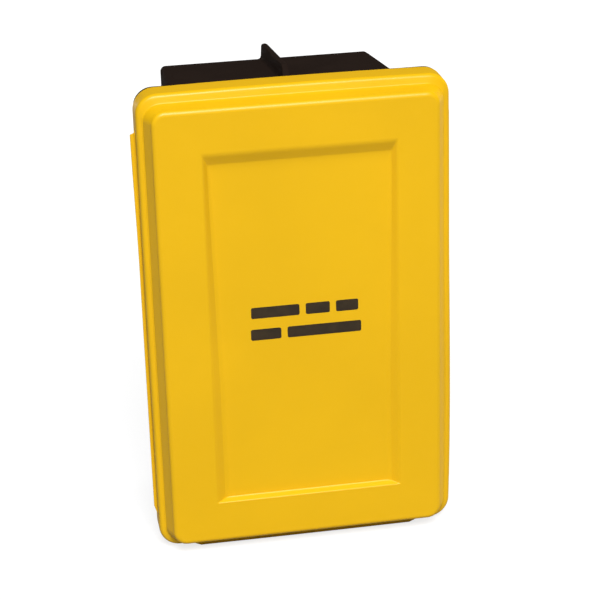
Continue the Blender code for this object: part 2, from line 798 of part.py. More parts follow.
def make_exhale_valve():
    out = (0, -1, 0)
    place = (0, 0, EXHALE_Z)
    seat = [(10, 135.6), (20, 135.6), (20, 132.8), (14, 132.8), (14, 124), (10, 124)]
    turned("exhale_seat", seat, place, out, "black_plastic", 24, closed=True)
    cylinder("exhale_flap", 13.5, (0, -135.9, EXHALE_Z), out, 1.0, "silicone", 24)
    cover = [
        (0, 144), (16, 144), (20, 140.5), (20, 135.9), (17.5, 135.9), (17.5, 140), (15, 141.6),
        (0, 141.6),
    ]
    cap = turned("exhale_cover", cover, place, out, "black_plastic", 24)
    for i, angle in enumerate((0, 60, 120)):
        slot = box(f"cover_slot_{i}", (-22, -1.5, 137.2), (22, 1.5, 139.4))
        slot.matrix_world = (
            obj_matrix(place, out)
            @ Matrix.Rotation(math.radians(angle), 4, "Z")
            @ Matrix.Translation((0, 0, 138.3 * MM))
        )
        cut(cap, slot)


def make_canister():
    out = (0, -1, 0)
    port = (0, 0, PORT_Z)
    radius = CANISTER_RADIUS
    housing = [
        (15, 192), (18, 192), (18, 188), (radius - 3, 188), (radius, 185), (radius, 155),
        (radius - 4, 151), (26, 151), (26, 143), (20.5, 143), (20.5, 153), (radius - 4.5, 153),
        (radius - 1.5, 156), (radius - 1.5, 184.5), (radius - 4, 186.5), (15, 186.5),
    ]
    turned("canister_housing", housing, port, out, "canister_metal", 32, closed=True)
    cylinder("carbon_bed", radius - 2, (0, -157, PORT_Z), out, 19, "carbon", 32)
    cylinder("particulate_filter", radius - 2, (0, -176.5, PORT_Z), out, 7.5, "filter_paper", 32)
    cap = [
        (0, 195.5), (20.5, 195.5), (21.5, 194.5), (21.5, 188.6), (18.4, 188.6), (18.4, 192.6),
        (0, 192.6),
    ]
    turned("inlet_cap", cap, port, out, "cap_plastic", 32)


make_door()
make_back_shell()
make_gasket()
make_hinge_pin()
for catch_name, catch_z in CATCH_ZS.items():
    make_catch(catch_name, catch_z)
make_hook()
make_hood_bag()
make_visor()
make_neck_seal()
make_carry_loop()
make_head_strap()
make_port_parts()
make_exhale_valve()
make_canister()
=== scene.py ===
"""Looks of the wall case and its escape hood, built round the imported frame.

X is to the right, Y runs into the wall and Z is up. Shapes are worked out in millimetres and
turned into metres where a mesh is made. Every piece rides on a CAD body, and most stand for a node.
"""

import math

import bmesh
import bpy
import numpy as np
from mathutils import Matrix, Vector


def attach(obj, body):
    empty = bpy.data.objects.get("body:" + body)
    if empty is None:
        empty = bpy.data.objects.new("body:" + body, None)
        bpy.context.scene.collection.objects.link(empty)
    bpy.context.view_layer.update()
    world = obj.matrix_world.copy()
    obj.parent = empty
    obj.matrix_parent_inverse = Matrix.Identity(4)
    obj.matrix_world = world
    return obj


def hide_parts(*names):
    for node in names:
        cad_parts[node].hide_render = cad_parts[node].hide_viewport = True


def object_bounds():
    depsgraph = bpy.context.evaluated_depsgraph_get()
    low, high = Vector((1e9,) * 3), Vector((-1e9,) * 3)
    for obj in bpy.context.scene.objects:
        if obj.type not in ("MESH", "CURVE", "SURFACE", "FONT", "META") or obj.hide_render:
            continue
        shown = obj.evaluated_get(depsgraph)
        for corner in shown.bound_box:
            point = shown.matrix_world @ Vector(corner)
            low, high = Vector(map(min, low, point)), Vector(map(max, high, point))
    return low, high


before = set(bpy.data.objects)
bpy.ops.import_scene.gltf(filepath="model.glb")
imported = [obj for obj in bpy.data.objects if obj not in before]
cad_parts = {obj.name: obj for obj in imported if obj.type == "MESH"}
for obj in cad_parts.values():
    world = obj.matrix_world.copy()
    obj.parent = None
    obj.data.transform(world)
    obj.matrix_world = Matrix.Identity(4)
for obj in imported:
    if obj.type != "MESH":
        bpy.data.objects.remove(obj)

CAD_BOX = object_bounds()
MM = 0.001

# The case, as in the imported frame. A size is a half width, a half height and a corner radius.
FACE_Y = -221.0
LEDGE_Y = -202.5
DOOR_REAR_Y = -171.0
FLANGE_FRONT_Y = -168.0
FLANGE_REAR_Y = -164.5
SIDE_LIP_Y, BOTTOM_LIP_Y = -187.0, -199.0
WALL = 3.0
RIM = (170.0, 269.3, 23.0)
LEDGE = (162.0, 259.9, 18.5)
LEDGE_CENTRE = (0.0, -0.9)
FACE = (156.5, 258.3, 16.0)
FACE_CENTRE = (0.0, -1.8)
PANEL_HALF_W, PANEL_TOP, PANEL_BOTTOM, PANEL_X = 105.5, 205.7, -209.3, 2.0
PANEL_DEPTH = 6.5
PANEL_FLOOR_Y = FACE_Y + PANEL_DEPTH
FLANGE = (168.8, 268.4, 21.0)
TUB_BACK = (121.5, 243.3, 6.0)
TUB_FRONT = (130.0, 260.3, 12.0)
TUB_FILLET = 8.0
TUB_WALL = 3.5
RIB_HEIGHT = 18.0
HINGE = (173.4, -170.3)
KNUCKLE_RADIUS, KNUCKLE_BORE = 3.0, 1.4
KNUCKLES, KNUCKLE_PITCH = 9, 45.5
CATCH_X = -145.0
CATCH_ZS = {"upper": 150.0, "lower": -150.0}
STRIKE_FRONT_Y = -180.7
SIDE_LIP, BOTTOM_LIP = 5.5, 4.6
SHELL_ROOT_X = RIM[0] - 2.5
WALL_HOLE_X, WALL_HOLE_Z, WALL_HOLE_RADIUS = 85.0, 190.0, 3.5
HOOK_SCREW_ZS = {"upper": 203.0, "lower": 159.0}
HOOK_HOLE_RADIUS = 2.4
CATCH_SCREW_DX, STRIKE_SCREW_DZ = 10, 17
OUT = (0, -1, 0)
QUARTERS = ((1, 1), (-1, 1), (-1, -1), (1, -1))


# Meshes


def smooth_shade(mesh, sharp):
    """Smooth shading, with edges left sharp above an angle in degrees."""
    mesh.shade_smooth()
    mesh.set_sharp_from_angle(angle=math.radians(sharp))


def link(name, data):
    obj = bpy.data.objects.new(name, data)
    bpy.context.scene.collection.objects.link(obj)
    return obj


def from_bmesh(name, bm, material=None, sharp=32.0):
    bmesh.ops.recalc_face_normals(bm, faces=bm.faces)
    mesh = bpy.data.meshes.new(name)
    bm.to_mesh(mesh)
    bm.free()
    smooth_shade(mesh, sharp)
    if material:
        mesh.materials.append(material)
    return link(name, mesh)


def add_rings(bm, rings, closed=False):
    """Faces between rings of equally many points. The end rings are capped, or joined if closed."""
    loops = [[bm.verts.new(Vector(p) * MM) for p in ring] for ring in rings]
    for ring, other in zip(loops, loops[1:] + loops[:1] if closed else loops[1:]):
        for i in range(len(ring)):
            j = (i + 1) % len(ring)
            bm.faces.new((ring[i], ring[j], other[j], other[i]))
    if not closed:
        bm.faces.new(loops[0])
        bm.faces.new(loops[-1])


def skin(name, rings, material=None, closed=False, sharp=32.0):
    bm = bmesh.new()
    add_rings(bm, rings, closed)
    return from_bmesh(name, bm, material, sharp)


def evaluated_mesh(obj):
    bpy.context.view_layer.update()
    graph = bpy.context.evaluated_depsgraph_get()
    return bpy.data.meshes.new_from_object(obj.evaluated_get(graph))


def bake(obj, sharp=32.0):
    """Applies the object's modifiers, and shades the result smooth between sharp edges."""
    mesh = evaluated_mesh(obj)
    obj.modifiers.clear()
    obj.data = mesh
    smooth_shade(mesh, sharp)
    return obj


def carve(obj, joined=(), removed=(), sharp=32.0):
    """Joins and cuts with closed helper meshes, which are then thrown away."""
    helpers = [(h, "UNION") for h in joined] + [(h, "DIFFERENCE") for h in removed]
    for helper, operation in helpers:
        change = obj.modifiers.new(helper.name, "BOOLEAN")
        change.operation = operation
        change.solver = "EXACT"
        change.object = helper
    bake(obj, sharp)
    for helper, _ in helpers:
        bpy.data.objects.remove(helper)
    weighted = obj.modifiers.new("Weighted normals", "WEIGHTED_NORMAL")
    weighted.keep_sharp = True
    weighted.weight = 80


def ride(obj, body, slot, *nodes):
    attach(obj, body)
    if nodes:
        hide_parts(*nodes)
    return obj


def arc(centre, radius, start, end, steps):
    angles = [math.radians(start + (end - start) * i / steps) for i in range(steps + 1)]
    return [(centre[0] + radius * math.cos(a), centre[1] + radius * math.sin(a)) for a in angles]


def rounded_outline(half_w, half_h, corner, steps, centre=(0.0, 0.0), inset=0.0):
    """Points round a rectangle with round corners. inset makes it smaller all round."""
    points = []
    for quarter, (sx, sz) in enumerate(QUARTERS):
        middle = (centre[0] + sx * (half_w - corner), centre[1] + sz * (half_h - corner))
        points += arc(middle, corner - inset, 90 * quarter, 90 * quarter + 90, steps)
    return points


def prism(name, outline, low_z, high_z):
    return skin(name, [[(x, y, z) for x, y in outline] for z in (low_z, high_z)])


def box(name, low, high):
    (x0, y0, z0), (x1, y1, z1) = low, high
    return prism(name, [(x0, y0), (x1, y0), (x1, y1), (x0, y1)], z0, z1)


def turned(name, profile, place, towards, material=None, steps=48, closed=False, sharp=32.0):
    """A profile of (radius, height) turned about an axis through place."""
    turn = Vector(towards).to_track_quat("Z", "Y").to_matrix()
    place = Vector(place)
    bm = bmesh.new()
    loops = []
    for radius, height in profile:
        around = [2 * math.pi * i / steps for i in range(steps)] if radius > 1e-6 else [0.0]
        loops.append([
            bm.verts.new((place + turn @ Vector(
                (radius * math.cos(a), radius * math.sin(a), height))) * MM)
            for a in around
        ])
    for ring, other in zip(loops, loops[1:] + loops[:1] if closed else loops[1:]):
        for i in range(steps):
            j = (i + 1) % steps
            corners = [ring[i % len(ring)], ring[j % len(ring)],
                    other[j % len(other)], other[i % len(other)]]
            corners = list(dict.fromkeys(corners))
            if len(corners) > 2:
                bm.faces.new(corners)
    return from_bmesh(name, bm, material, sharp)


def drill(place, radius, depth=15, towards=OUT, steps=28):
    """A helper mesh that cuts a round hole."""
    profile = [(0, depth), (radius, depth), (radius, 0), (0, 0)]
    return turned("hole", profile, place, towards, steps=steps)


def rounded_profile(points, radii, steps=4, closed=False):
    """An outline of (radius, height) with its corners rounded off."""
    rounded = []
    count = len(points)
    for i, point in enumerate(points):
        here = Vector(point)
        size = radii[i] if isinstance(radii, (list, tuple)) else radii
        if size <= 0 or (not closed and i in (0, count - 1)):
            rounded.append(tuple(here))
            continue
        before, after = Vector(points[i - 1]) - here, Vector(points[(i + 1) % count]) - here
        reach = min(size, before.length * 0.45, after.length * 0.45)
        start, end = here + before.normalized() * reach, here + after.normalized() * reach
        for step in range(steps + 1):
            t = step / steps
            rounded.append(tuple(start * (1 - t) ** 2 + here * 2 * t * (1 - t) + end * t * t))
    return rounded


# Rounded rectangles that face along Y. Every ring has the same points, so rings can be skinned.

CORNER_STEPS = 10
# Distance from the middle of the rib, and the share of the rib's height there.
RIB_SECTION = {8.5: 0.0, 6.5: 0.02, 5.3: 0.08, 4.4: 0.22, 4.0: 0.55, 3.7: 0.86, 3.0: 0.95,
    1.6: 0.99,
    0.0: 1.0}
X_STOPS = [(s, 0.0) for s in (
    -0.96, -0.912, -0.885, -0.86, -0.8367, -0.8, -0.65, -0.5, -0.35, -0.2)]
X_STOPS += [(0.0, -mm) for mm in RIB_SECTION]
X_STOPS += [(-s, -mm) for s, mm in reversed(X_STOPS[:-1])]
Z_STOPS = [(s, 0.0) for s in (
    -0.97, -0.95, -0.934, -0.9176, -0.9054, -0.88, -0.75, -0.6, -0.45, -0.3, -0.15, 0.0,
    0.15, 0.3, 0.45, 0.6, 0.75, 0.88, 0.9, 0.9054, 0.912, 0.95)]


def rounded_ring(size, y, inset=0.0, centre=(0.0, 0.0), shift=None):
    """A ring of half width, half height and corner radius, made smaller by inset."""
    half_w, half_h, radius = size[0] - inset, size[1] - inset, max(size[2] - inset, 0.4)
    flat_x, flat_z = half_w - radius, half_h - radius
    xs = [share * flat_x + mm for share, mm in X_STOPS]
    zs = [share * flat_z + mm for share, mm in Z_STOPS]
    sides = (
        [(half_w, z) for z in zs],
        [(x, half_h) for x in reversed(xs)],
        [(-half_w, z) for z in reversed(zs)],
        [(x, -half_h) for x in xs],
    )
    points = []
    for quarter, side in enumerate(sides):
        points += side
        sx, sz = QUARTERS[quarter]
        start = 90 * quarter
        points += arc((sx * flat_x, sz * flat_z), radius, start, start + 90, CORNER_STEPS)
    ring = []
    for x, z in points:
        if shift:
            dx, dz = shift(x, z)
            x, z = x + dx, z + dz
        ring.append((x + centre[0], y, z + centre[1]))
    return ring


def bend(size, low, high, flip, steps=6, centre=(0.0, 0.0), shift=None):
    """Rings round a quarter turn between (inset, y) pairs low and high. flip picks its bulge."""
    rings = []
    for step in range(steps + 1):
        a = math.pi / 2 * step / steps
        across, along = (1 - math.cos(a), math.sin(a)) if flip else (math.sin(a), 1 - math.cos(a))
        inset = low[0] + (high[0] - low[0]) * across
        y = low[1] + (high[1] - low[1]) * along
        rings.append(rounded_ring(size, y, inset, centre, shift))
    return rings


# Procedural materials


def node(tree, kind, inputs=None, **settings):
    made = tree.nodes.new(kind)
    for key, value in settings.items():
        setattr(made, key, value)
    for key, value in (inputs or {}).items():
        socket = made.inputs[key]
        if isinstance(value, bpy.types.NodeSocket):
            tree.links.new(value, socket)
        else:
            socket.default_value = value
    return made


def maths(tree, operation, a, b=0.0, clamp=False):
    made = node(tree, "ShaderNodeMath", {0: a, 1: b}, operation=operation, use_clamp=clamp)
    return made.outputs[0]


def scaled(tree, value, factor, offset):
    made = node(tree, "ShaderNodeMath", {0: value, 1: factor, 2: offset}, operation="MULTIPLY_ADD")
    return made.outputs[0]


def mixed(tree, factor, a, b):
    made = node(tree, "ShaderNodeMix", {0: factor, 6: a, 7: b}, data_type="RGBA")
    return made.outputs[2]


def ramp(tree, value, low, high):
    """0 below low and 1 above high."""
    made = node(tree, "ShaderNodeMapRange", {"Value": value, "From Min": low, "From Max": high})
    made.interpolation_type = "SMOOTHSTEP"
    return made.outputs["Result"]


def noise(tree, place, scale, detail=3.0, stretch=None):
    if stretch:
        place = node(tree, "ShaderNodeMapping", {"Vector": place, "Scale": stretch}).outputs[0]
    inputs = {"Vector": place, "Scale": scale, "Detail": detail}
    return node(tree, "ShaderNodeTexNoise", inputs).outputs["Fac"]


def grain(tree, place, scale):
    return node(tree, "ShaderNodeTexVoronoi", {"Vector": place, "Scale": scale}).outputs["Distance"]


def wave(tree, place, scale, direction):
    inputs = {"Vector": place, "Scale": scale, "Distortion": 0.0}
    made = node(tree, "ShaderNodeTexWave", inputs, bands_direction=direction)
    return made.outputs["Fac"]


def weave(tree, place, scale):
    """Threads that go over and under each other."""
    across, along = wave(tree, place, scale, "X"), wave(tree, place, scale, "Y")
    return maths(tree, "MULTIPLY", across, along)


def ribs(tree, place, scale):
    return wave(tree, place, scale, "X")


PATTERNS = {"noise": noise, "grain": grain, "weave": weave, "ribs": ribs}
UNEVEN = 0.12  # how far roughness wanders


def material(name, colour, roughness, bumps=(), metallic=0.0, spread=0.08, blotch=14.0,
    wear=None, tint=None, coords="Object", stretch=None, **inputs):
    """A surface whose colour and roughness wander, with bumps of (pattern, scale, height in mm)."""
    made = bpy.data.materials.new(name)
    made.use_nodes = True
    tree = made.node_tree
    shader = tree.nodes["Principled BSDF"]
    place = node(tree, "ShaderNodeTexCoord").outputs[coords]
    patches = noise(tree, place, blotch, 4.0)
    dark = (*[c * (1 - spread) for c in colour], 1)
    light = (*[min(c * (1 + spread), 1) for c in (tint or colour)], 1)
    shade = mixed(tree, ramp(tree, patches, 0.3, 0.7), dark, light)
    smudge = noise(tree, place, blotch * 7, 3.0, stretch)
    rough = scaled(tree, smudge, UNEVEN, roughness - UNEVEN / 2)
    if wear:
        edges = node(tree, "ShaderNodeNewGeometry").outputs["Pointiness"]
        scuffs = maths(tree, "MULTIPLY", ramp(tree, edges, *wear[:2]),
                ramp(tree, smudge, 0.45, 0.6))
        shade = mixed(tree, maths(tree, "MULTIPLY", scuffs, wear[2]), shade, (*wear[3], 1))
    normal = None
    for kind, scale, height in bumps:
        relief = {"Height": PATTERNS[kind](tree, place, scale), "Distance": height * MM}
        if normal:
            relief["Normal"] = normal
        normal = node(tree, "ShaderNodeBump", relief).outputs["Normal"]
    tree.links.new(shade, shader.inputs["Base Color"])
    tree.links.new(rough, shader.inputs["Roughness"])
    if normal:
        tree.links.new(normal, shader.inputs["Normal"])
    shader.inputs["Metallic"].default_value = metallic
    for key, value in inputs.items():
        shader.inputs[key.replace("_", " ")].default_value = value
    return made


YELLOW = material("yellow_shell", (0.81, 0.466, 0.004), 0.36,
    [("noise", 260.0, 0.05), ("noise", 45.0, 0.10), ("noise", 8.0, 0.9)],
    spread=0.025, blotch=6.0,
    wear=(0.53, 0.60, 0.35, (0.90, 0.62, 0.12)), Specular_IOR_Level=0.32)
BLACK = material("black_shell", (0.0158, 0.0096, 0.0070), 0.78,
    [("grain", 900.0, 0.10), ("noise", 60.0, 0.15)], spread=0.07, blotch=30.0,
    wear=(0.57, 0.68, 0.5, (0.030, 0.025, 0.022)), Specular_IOR_Level=0.05)
INK = material("print_ink", (0.030, 0.018, 0.006), 0.45, [("noise", 900.0, 0.02)], spread=0.2,
    blotch=90.0)
GASKET = material("gasket", (0.020, 0.020, 0.021), 0.92,
    [("grain", 1500.0, 0.25), ("noise", 500.0, 0.3)],
    spread=0.3, blotch=60.0)
PIN_STEEL = material("hinge_steel", (0.56, 0.56, 0.58), 0.30, [("noise", 900.0, 0.02)], 1.0,
    blotch=90.0,
    stretch=(1, 1, 0.05))
ZINC = material("hook_steel", (0.62, 0.64, 0.66), 0.34, [("noise", 700.0, 0.03)], 1.0, spread=0.12,
    blotch=70.0, tint=(0.72, 0.70, 0.60), stretch=(1, 0.05, 1))
SCREW_STEEL = material("screw_steel", (0.58, 0.58, 0.60), 0.28, [("noise", 1500.0, 0.02)], 1.0,
    spread=0.15, blotch=200.0)
STRIKE_STEEL = material("strike_steel", (0.50, 0.50, 0.52), 0.36, [("noise", 800.0, 0.02)], 1.0,
    spread=0.1, blotch=80.0, stretch=(1, 1, 0.04))
WHITE = material("catch_plastic", (0.72, 0.71, 0.67), 0.42, [("noise", 600.0, 0.04)], spread=0.05,
    blotch=60.0, tint=(0.74, 0.70, 0.60))
MAGNET = material("magnet", (0.050, 0.050, 0.055), 0.50, [("grain", 2500.0, 0.05)], spread=0.25,
    blotch=200.0)
FABRIC = material("hood_fabric", (0.86, 0.155, 0.012), 0.55,
    [("weave", 90.0, 0.10), ("noise", 120.0, 0.25)],
    spread=0.10, blotch=18.0, coords="UV", Sheen_Weight=0.25, Sheen_Roughness=0.4)
TAPE = material("seam_tape", (0.80, 0.13, 0.010), 0.48,
    [("ribs", 110.0, 0.08), ("noise", 200.0, 0.1)],
    spread=0.08, blotch=30.0)
BINDING = material("visor_binding", (0.018, 0.018, 0.020), 0.50, [("noise", 700.0, 0.06)],
    spread=0.25,
    blotch=60.0)
THREAD = material("thread", (0.75, 0.72, 0.64), 0.75, [("ribs", 900.0, 0.05)], spread=0.12,
    blotch=300.0)
DARK_THREAD = material("dark_thread", (0.05, 0.05, 0.055), 0.8, [("ribs", 900.0, 0.05)],
    blotch=300.0)
ELASTIC = material("neck_elastic", (0.035, 0.037, 0.045), 0.85, [("weave", 130.0, 0.15)],
    spread=0.2,
    blotch=40.0, coords="UV", Sheen_Weight=0.3)
WEBBING = material("webbing", (0.022, 0.023, 0.027), 0.72, [("weave", 60.0, 0.35)], spread=0.3,
    blotch=90.0, coords="UV", Sheen_Weight=0.25)
STRAP = material("strap_elastic", (0.028, 0.028, 0.034), 0.78,
    [("ribs", 70.0, 0.3), ("weave", 140.0, 0.1)],
    spread=0.25, blotch=90.0, coords="UV", Sheen_Weight=0.25)
PORT_PLASTIC = material("port_plastic", (0.020, 0.020, 0.022), 0.42, [("grain", 1800.0, 0.05)],
    spread=0.2, blotch=60.0, wear=(0.54, 0.62, 0.4, (0.07, 0.07, 0.07)))
SILICONE = material("silicone", (0.030, 0.030, 0.034), 0.46, [("noise", 400.0, 0.05)], spread=0.2,
    blotch=40.0, Coat_Weight=0.1)
PAINT = material("canister_paint", (0.070, 0.115, 0.075), 0.40, [("noise", 420.0, 0.05)], 0.15,
    spread=0.12, blotch=30.0, wear=(0.54, 0.62, 0.6, (0.34, 0.35, 0.33)),
    Coat_Weight=0.2)
CARBON = material("carbon", (0.014, 0.014, 0.015), 0.75, [("grain", 500.0, 0.8)], spread=0.5,
    blotch=500.0)
PAPER = material("filter_paper", (0.74, 0.72, 0.64), 0.9, [("noise", 900.0, 0.15)], spread=0.06,
    blotch=40.0)
CAP_RED = material("cap_plastic", (0.56, 0.018, 0.012), 0.36, [("noise", 350.0, 0.04)], spread=0.08,
    blotch=50.0, wear=(0.54, 0.62, 0.35, (0.75, 0.20, 0.16)))


def clear_sheet():
    """Thin clear plastic: see-through, with a cool cast, faint handling marks and a soft gloss."""
    made = bpy.data.materials.new("visor_sheet")
    made.use_nodes = True
    tree = made.node_tree
    tree.nodes.remove(tree.nodes["Principled BSDF"])
    place = node(tree, "ShaderNodeTexCoord").outputs["Object"]
    marks = ramp(tree, noise(tree, place, 40.0, 5.0, (1, 1, 6)), 0.5, 0.75)
    cast = mixed(tree, marks, (0.86, 0.90, 0.90, 1), (0.74, 0.78, 0.78, 1))
    ripple = node(tree, "ShaderNodeBump",
            {"Height": noise(tree, place, 25.0), "Distance": 0.0006}).outputs[0]
    through = node(tree, "ShaderNodeBsdfTransparent", {"Color": cast}).outputs[0]
    gloss_rough = scaled(tree, marks, 0.12, 0.05)
    gloss = node(tree, "ShaderNodeBsdfGlossy",
            {"Roughness": gloss_rough, "Normal": ripple}).outputs[0]
    facing = node(tree, "ShaderNodeFresnel", {"IOR": 1.5, "Normal": ripple}).outputs[0]
    share = maths(tree, "ADD", maths(tree, "MULTIPLY", facing, 0.8),
            maths(tree, "MULTIPLY", marks, 0.04), True)
    mix = node(tree, "ShaderNodeMixShader", {0: share, 1: through, 2: gloss}).outputs[0]
    tree.links.new(mix, tree.nodes["Material Output"].inputs["Surface"])
    return made


CLEAR = clear_sheet()


# Door


def bow(amount_x, amount_z):
    """Bows the long sides of a ring outwards. The top bows the most."""
    def shift(x, z):
        side = 1 - min(abs(z) / RIM[1], 1) ** 2
        end = 1 - min(abs(x) / RIM[0], 1) ** 2
        up = amount_z if z > 0 else amount_z * 0.3
        wide = amount_x * (1 + 0.012 * max(60 - z, 0) if x > 0 else 0.6)
        share_x = min(max((abs(x) - 150) / 12, 0), 1)
        share_z = min(max((abs(z) - 248) / 11, 0), 1)
        return (math.copysign(wide * side * share_x, x), math.copysign(up * end * share_z, z))
    return shift


def ramp_down(value, start, length):
    """1 up to start, and down to 0 over length."""
    return min(max((start + length - value) / length, 0), 1)


LIP_SECTION = (
    (-0.9, 0.0), (-0.25, 0.04), (0.0, 0.18), (0.12, 0.86), (0.35, 0.96), (0.9, 1.0),
    (2.1, 1.0), (2.65, 0.96), (2.88, 0.86), (3.0, 0.18), (3.25, 0.04), (3.9, 0.0),
)


def side_reach(x, z):
    """How far the pull lip on a long side stands out of the skirt."""
    reach = SIDE_LIP * (1 - 0.36 * ramp_down(z, 90, 120)) if x < 0 else SIDE_LIP * 0.5
    return reach * ramp_down(z, 223, 2) * ramp_down(-z, 223, 11)


def bottom_reach(x):
    return BOTTOM_LIP * ramp_down(abs(x), 123, 11)


def rim_rings(bowed):
    """The rim from its skirt to its rounded front edge, with the pull lips that stand out of it."""
    wide, deep = 6.4, 6.0
    front_y = LEDGE_Y + 0.9
    stops = np.linspace(front_y + deep, front_y, 11)
    sides = {SIDE_LIP_Y + along: share for along, share in LIP_SECTION}
    bottoms = {BOTTOM_LIP_Y + along: share for along, share in LIP_SECTION}
    rings = []
    for y in sorted({*stops, *sides, *bottoms}, reverse=True):
        turned_in = min(max((front_y + deep - y) / deep, 0), 1)
        inset = wide * (1 - math.sqrt(1 - turned_in ** 2))
        side = sides.get(y, 0.0)
        bottom = np.interp(y, *zip(*sorted(bottoms.items())))

        def shift(x, z, inset=inset, side=side, bottom=bottom):
            dx, dz = bowed(x, z)
            if abs(x) > RIM[0] - inset - 0.5:
                return dx + math.copysign(side_reach(x, z) * side, x), dz
            if z < -RIM[1] + inset + 0.5:
                return dx, dz - bottom_reach(x) * bottom
            return dx, dz
        rings.append(rounded_ring(RIM, y, inset, shift=shift))
    return rings


def knuckle_spans(first):
    low = -KNUCKLES * KNUCKLE_PITCH / 2
    return [(low + k * KNUCKLE_PITCH + 0.25, low + (k + 1) * KNUCKLE_PITCH - 0.25)
            for k in range(first, KNUCKLES, 2)]


def hinge_bore():
    half = KNUCKLES * KNUCKLE_PITCH / 2 + 10
    return turned("hinge_bore",
            [(0, half), (KNUCKLE_BORE, half), (KNUCKLE_BORE, -half), (0, -half)],
            (*HINGE, 0), (0, 0, 1), steps=24)


# How far a ring of the recess lies inside its outline at the sides, top and bottom, and how deep.
PANEL_SECTION = (
    (-2.6, -2.6, -1.2, 0.00), (-1.6, -1.4, -0.8, 0.06), (-0.7, 0.2, -0.4, 0.25),
    (0.1, 2.0, 0.0, 0.70), (1.1, 3.9, 0.4, 1.40), (1.6, 4.6, 0.6, 1.80), (5.0, 12.6, 2.4, 5.30),
    (5.6, 13.4, 2.7, 5.60), (6.8, 16.0, 3.1, 6.05), (8.0, 20.5, 3.6, 6.40), (9.4, 26.5, 4.2, PANEL_DEPTH),
)


def panel_ring(side, up, down, y):
    """A ring of the recess. Its long sides slope more gently towards the bottom."""
    top, bottom = PANEL_TOP - up, PANEL_BOTTOM + down
    size = (PANEL_HALF_W - side, (top - bottom) / 2, 1.6)

    def shift(x, z):
        return -x / size[0] * max(side, 0) * 0.65 * ramp_down(z, -60, 230), 0.0
    return rounded_ring(size, y, 0, (PANEL_X, (top + bottom) / 2), shift)


def make_door():
    bowed = bow(0.8, 1.6)
    outside = [
        rounded_ring(RIM, DOOR_REAR_Y, 0.7, shift=bowed),
        rounded_ring(RIM, DOOR_REAR_Y - 0.3, 0.2, shift=bowed),
        rounded_ring(RIM, DOOR_REAR_Y - 1.0, 0.0, shift=bowed),
        *rim_rings(bowed),
        *bend(LEDGE, (-1.6, LEDGE_Y), (0, LEDGE_Y - 2.2), False, 5, LEDGE_CENTRE, bow(0.5, 0.8)),
        *bend(FACE, (0.4, FACE_Y + 5.4), (6.2, FACE_Y), True, 10, FACE_CENTRE, bow(0.2, 0.3)),
        *[panel_ring(*insets, FACE_Y + depth) for *insets, depth in PANEL_SECTION],
    ]
    inside = [
        panel_ring(3.0, 8.0, 3.0, PANEL_FLOOR_Y + WALL),
        panel_ring(-1.5, -1.5, -1.5, FACE_Y + WALL),
        *bend(FACE, (7.5, FACE_Y + WALL), (2.5, FACE_Y + WALL + 4.5), False, 5, FACE_CENTRE),
        rounded_ring(LEDGE, LEDGE_Y + WALL, WALL, LEDGE_CENTRE),
        rounded_ring(RIM, LEDGE_Y + WALL, 5.5),
        *bend(RIM, (5.0, LEDGE_Y + WALL), (WALL, LEDGE_Y + 5), False, 4),
        rounded_ring(RIM, DOOR_REAR_Y - 1, WALL),
        rounded_ring(RIM, DOOR_REAR_Y, WALL - 0.7, shift=bowed),
    ]
    door = skin("door_moulding", outside[::-1] + inside[::-1], YELLOW)
    root_x = RIM[0] - WALL / 2
    outline = [(root_x, HINGE[1] - KNUCKLE_RADIUS)]
    outline += arc(HINGE, KNUCKLE_RADIUS, -90, 170, 20) + [(root_x, DOOR_REAR_Y - 0.3)]
    joined = [prism(f"knuckle_{i}", outline, *span) for i, span in enumerate(knuckle_spans(1))]
    removed = [hinge_bore()]
    for name, z in CATCH_ZS.items():
        post = box("post_" + name, (CATCH_X - 6, FACE_Y + 1.5, z - 22),
                (CATCH_X + 6, STRIKE_FRONT_Y - 0.3, z + 22))
        joined.append(post)
        for end in (-STRIKE_SCREW_DZ, STRIKE_SCREW_DZ):
            removed.append(drill((CATCH_X, STRIKE_FRONT_Y + 1, z + end), 1.5, 14, steps=20))
    carve(door, joined, removed)
    return ride(door, "door", "yellow_shell", "door")


def make_print():
    """Two rows of plain bars on the panel where the case carries its printed title."""
    rows = ((16.6, ((-57, -3), (4, 31), (38, 63))), (-9.4, ((-58, -24), (-17, 66))))
    height, corner = 13.0, 2.0
    bm = bmesh.new()
    for z, spans in rows:
        for x0, x1 in spans:
            outline = rounded_outline((x1 - x0) / 2, height / 2, corner, 5)
            add_rings(bm, [[((x0 + x1) / 2 + dx, y, z + dz) for dx, dz in outline]
                    for y in (PANEL_FLOOR_Y - 0.25, PANEL_FLOOR_Y + 0.2)])
    return ride(from_bmesh("title_bars", bm, INK), "door", "yellow_shell")


# Back shell


def tub_size(y):
    share = y / FLANGE_REAR_Y
    return tuple(b + share * (f - b) for b, f in zip(TUB_BACK, TUB_FRONT))


RIB_SLOPE_Y, RIB_SLOPE_LENGTH = -141.5, 21.5


def rib_shift(y):
    """Raises the middle of a ring's top side to the rib, which slopes down to the flange."""
    height = RIB_HEIGHT * min(max(1 - (RIB_SLOPE_Y - y) / RIB_SLOPE_LENGTH, 0), 1)
    section = sorted(RIB_SECTION.items())

    def shift(x, z):
        return 0.0, (height * np.interp(abs(x), *zip(*section)) if z > 200 else 0.0)
    return shift


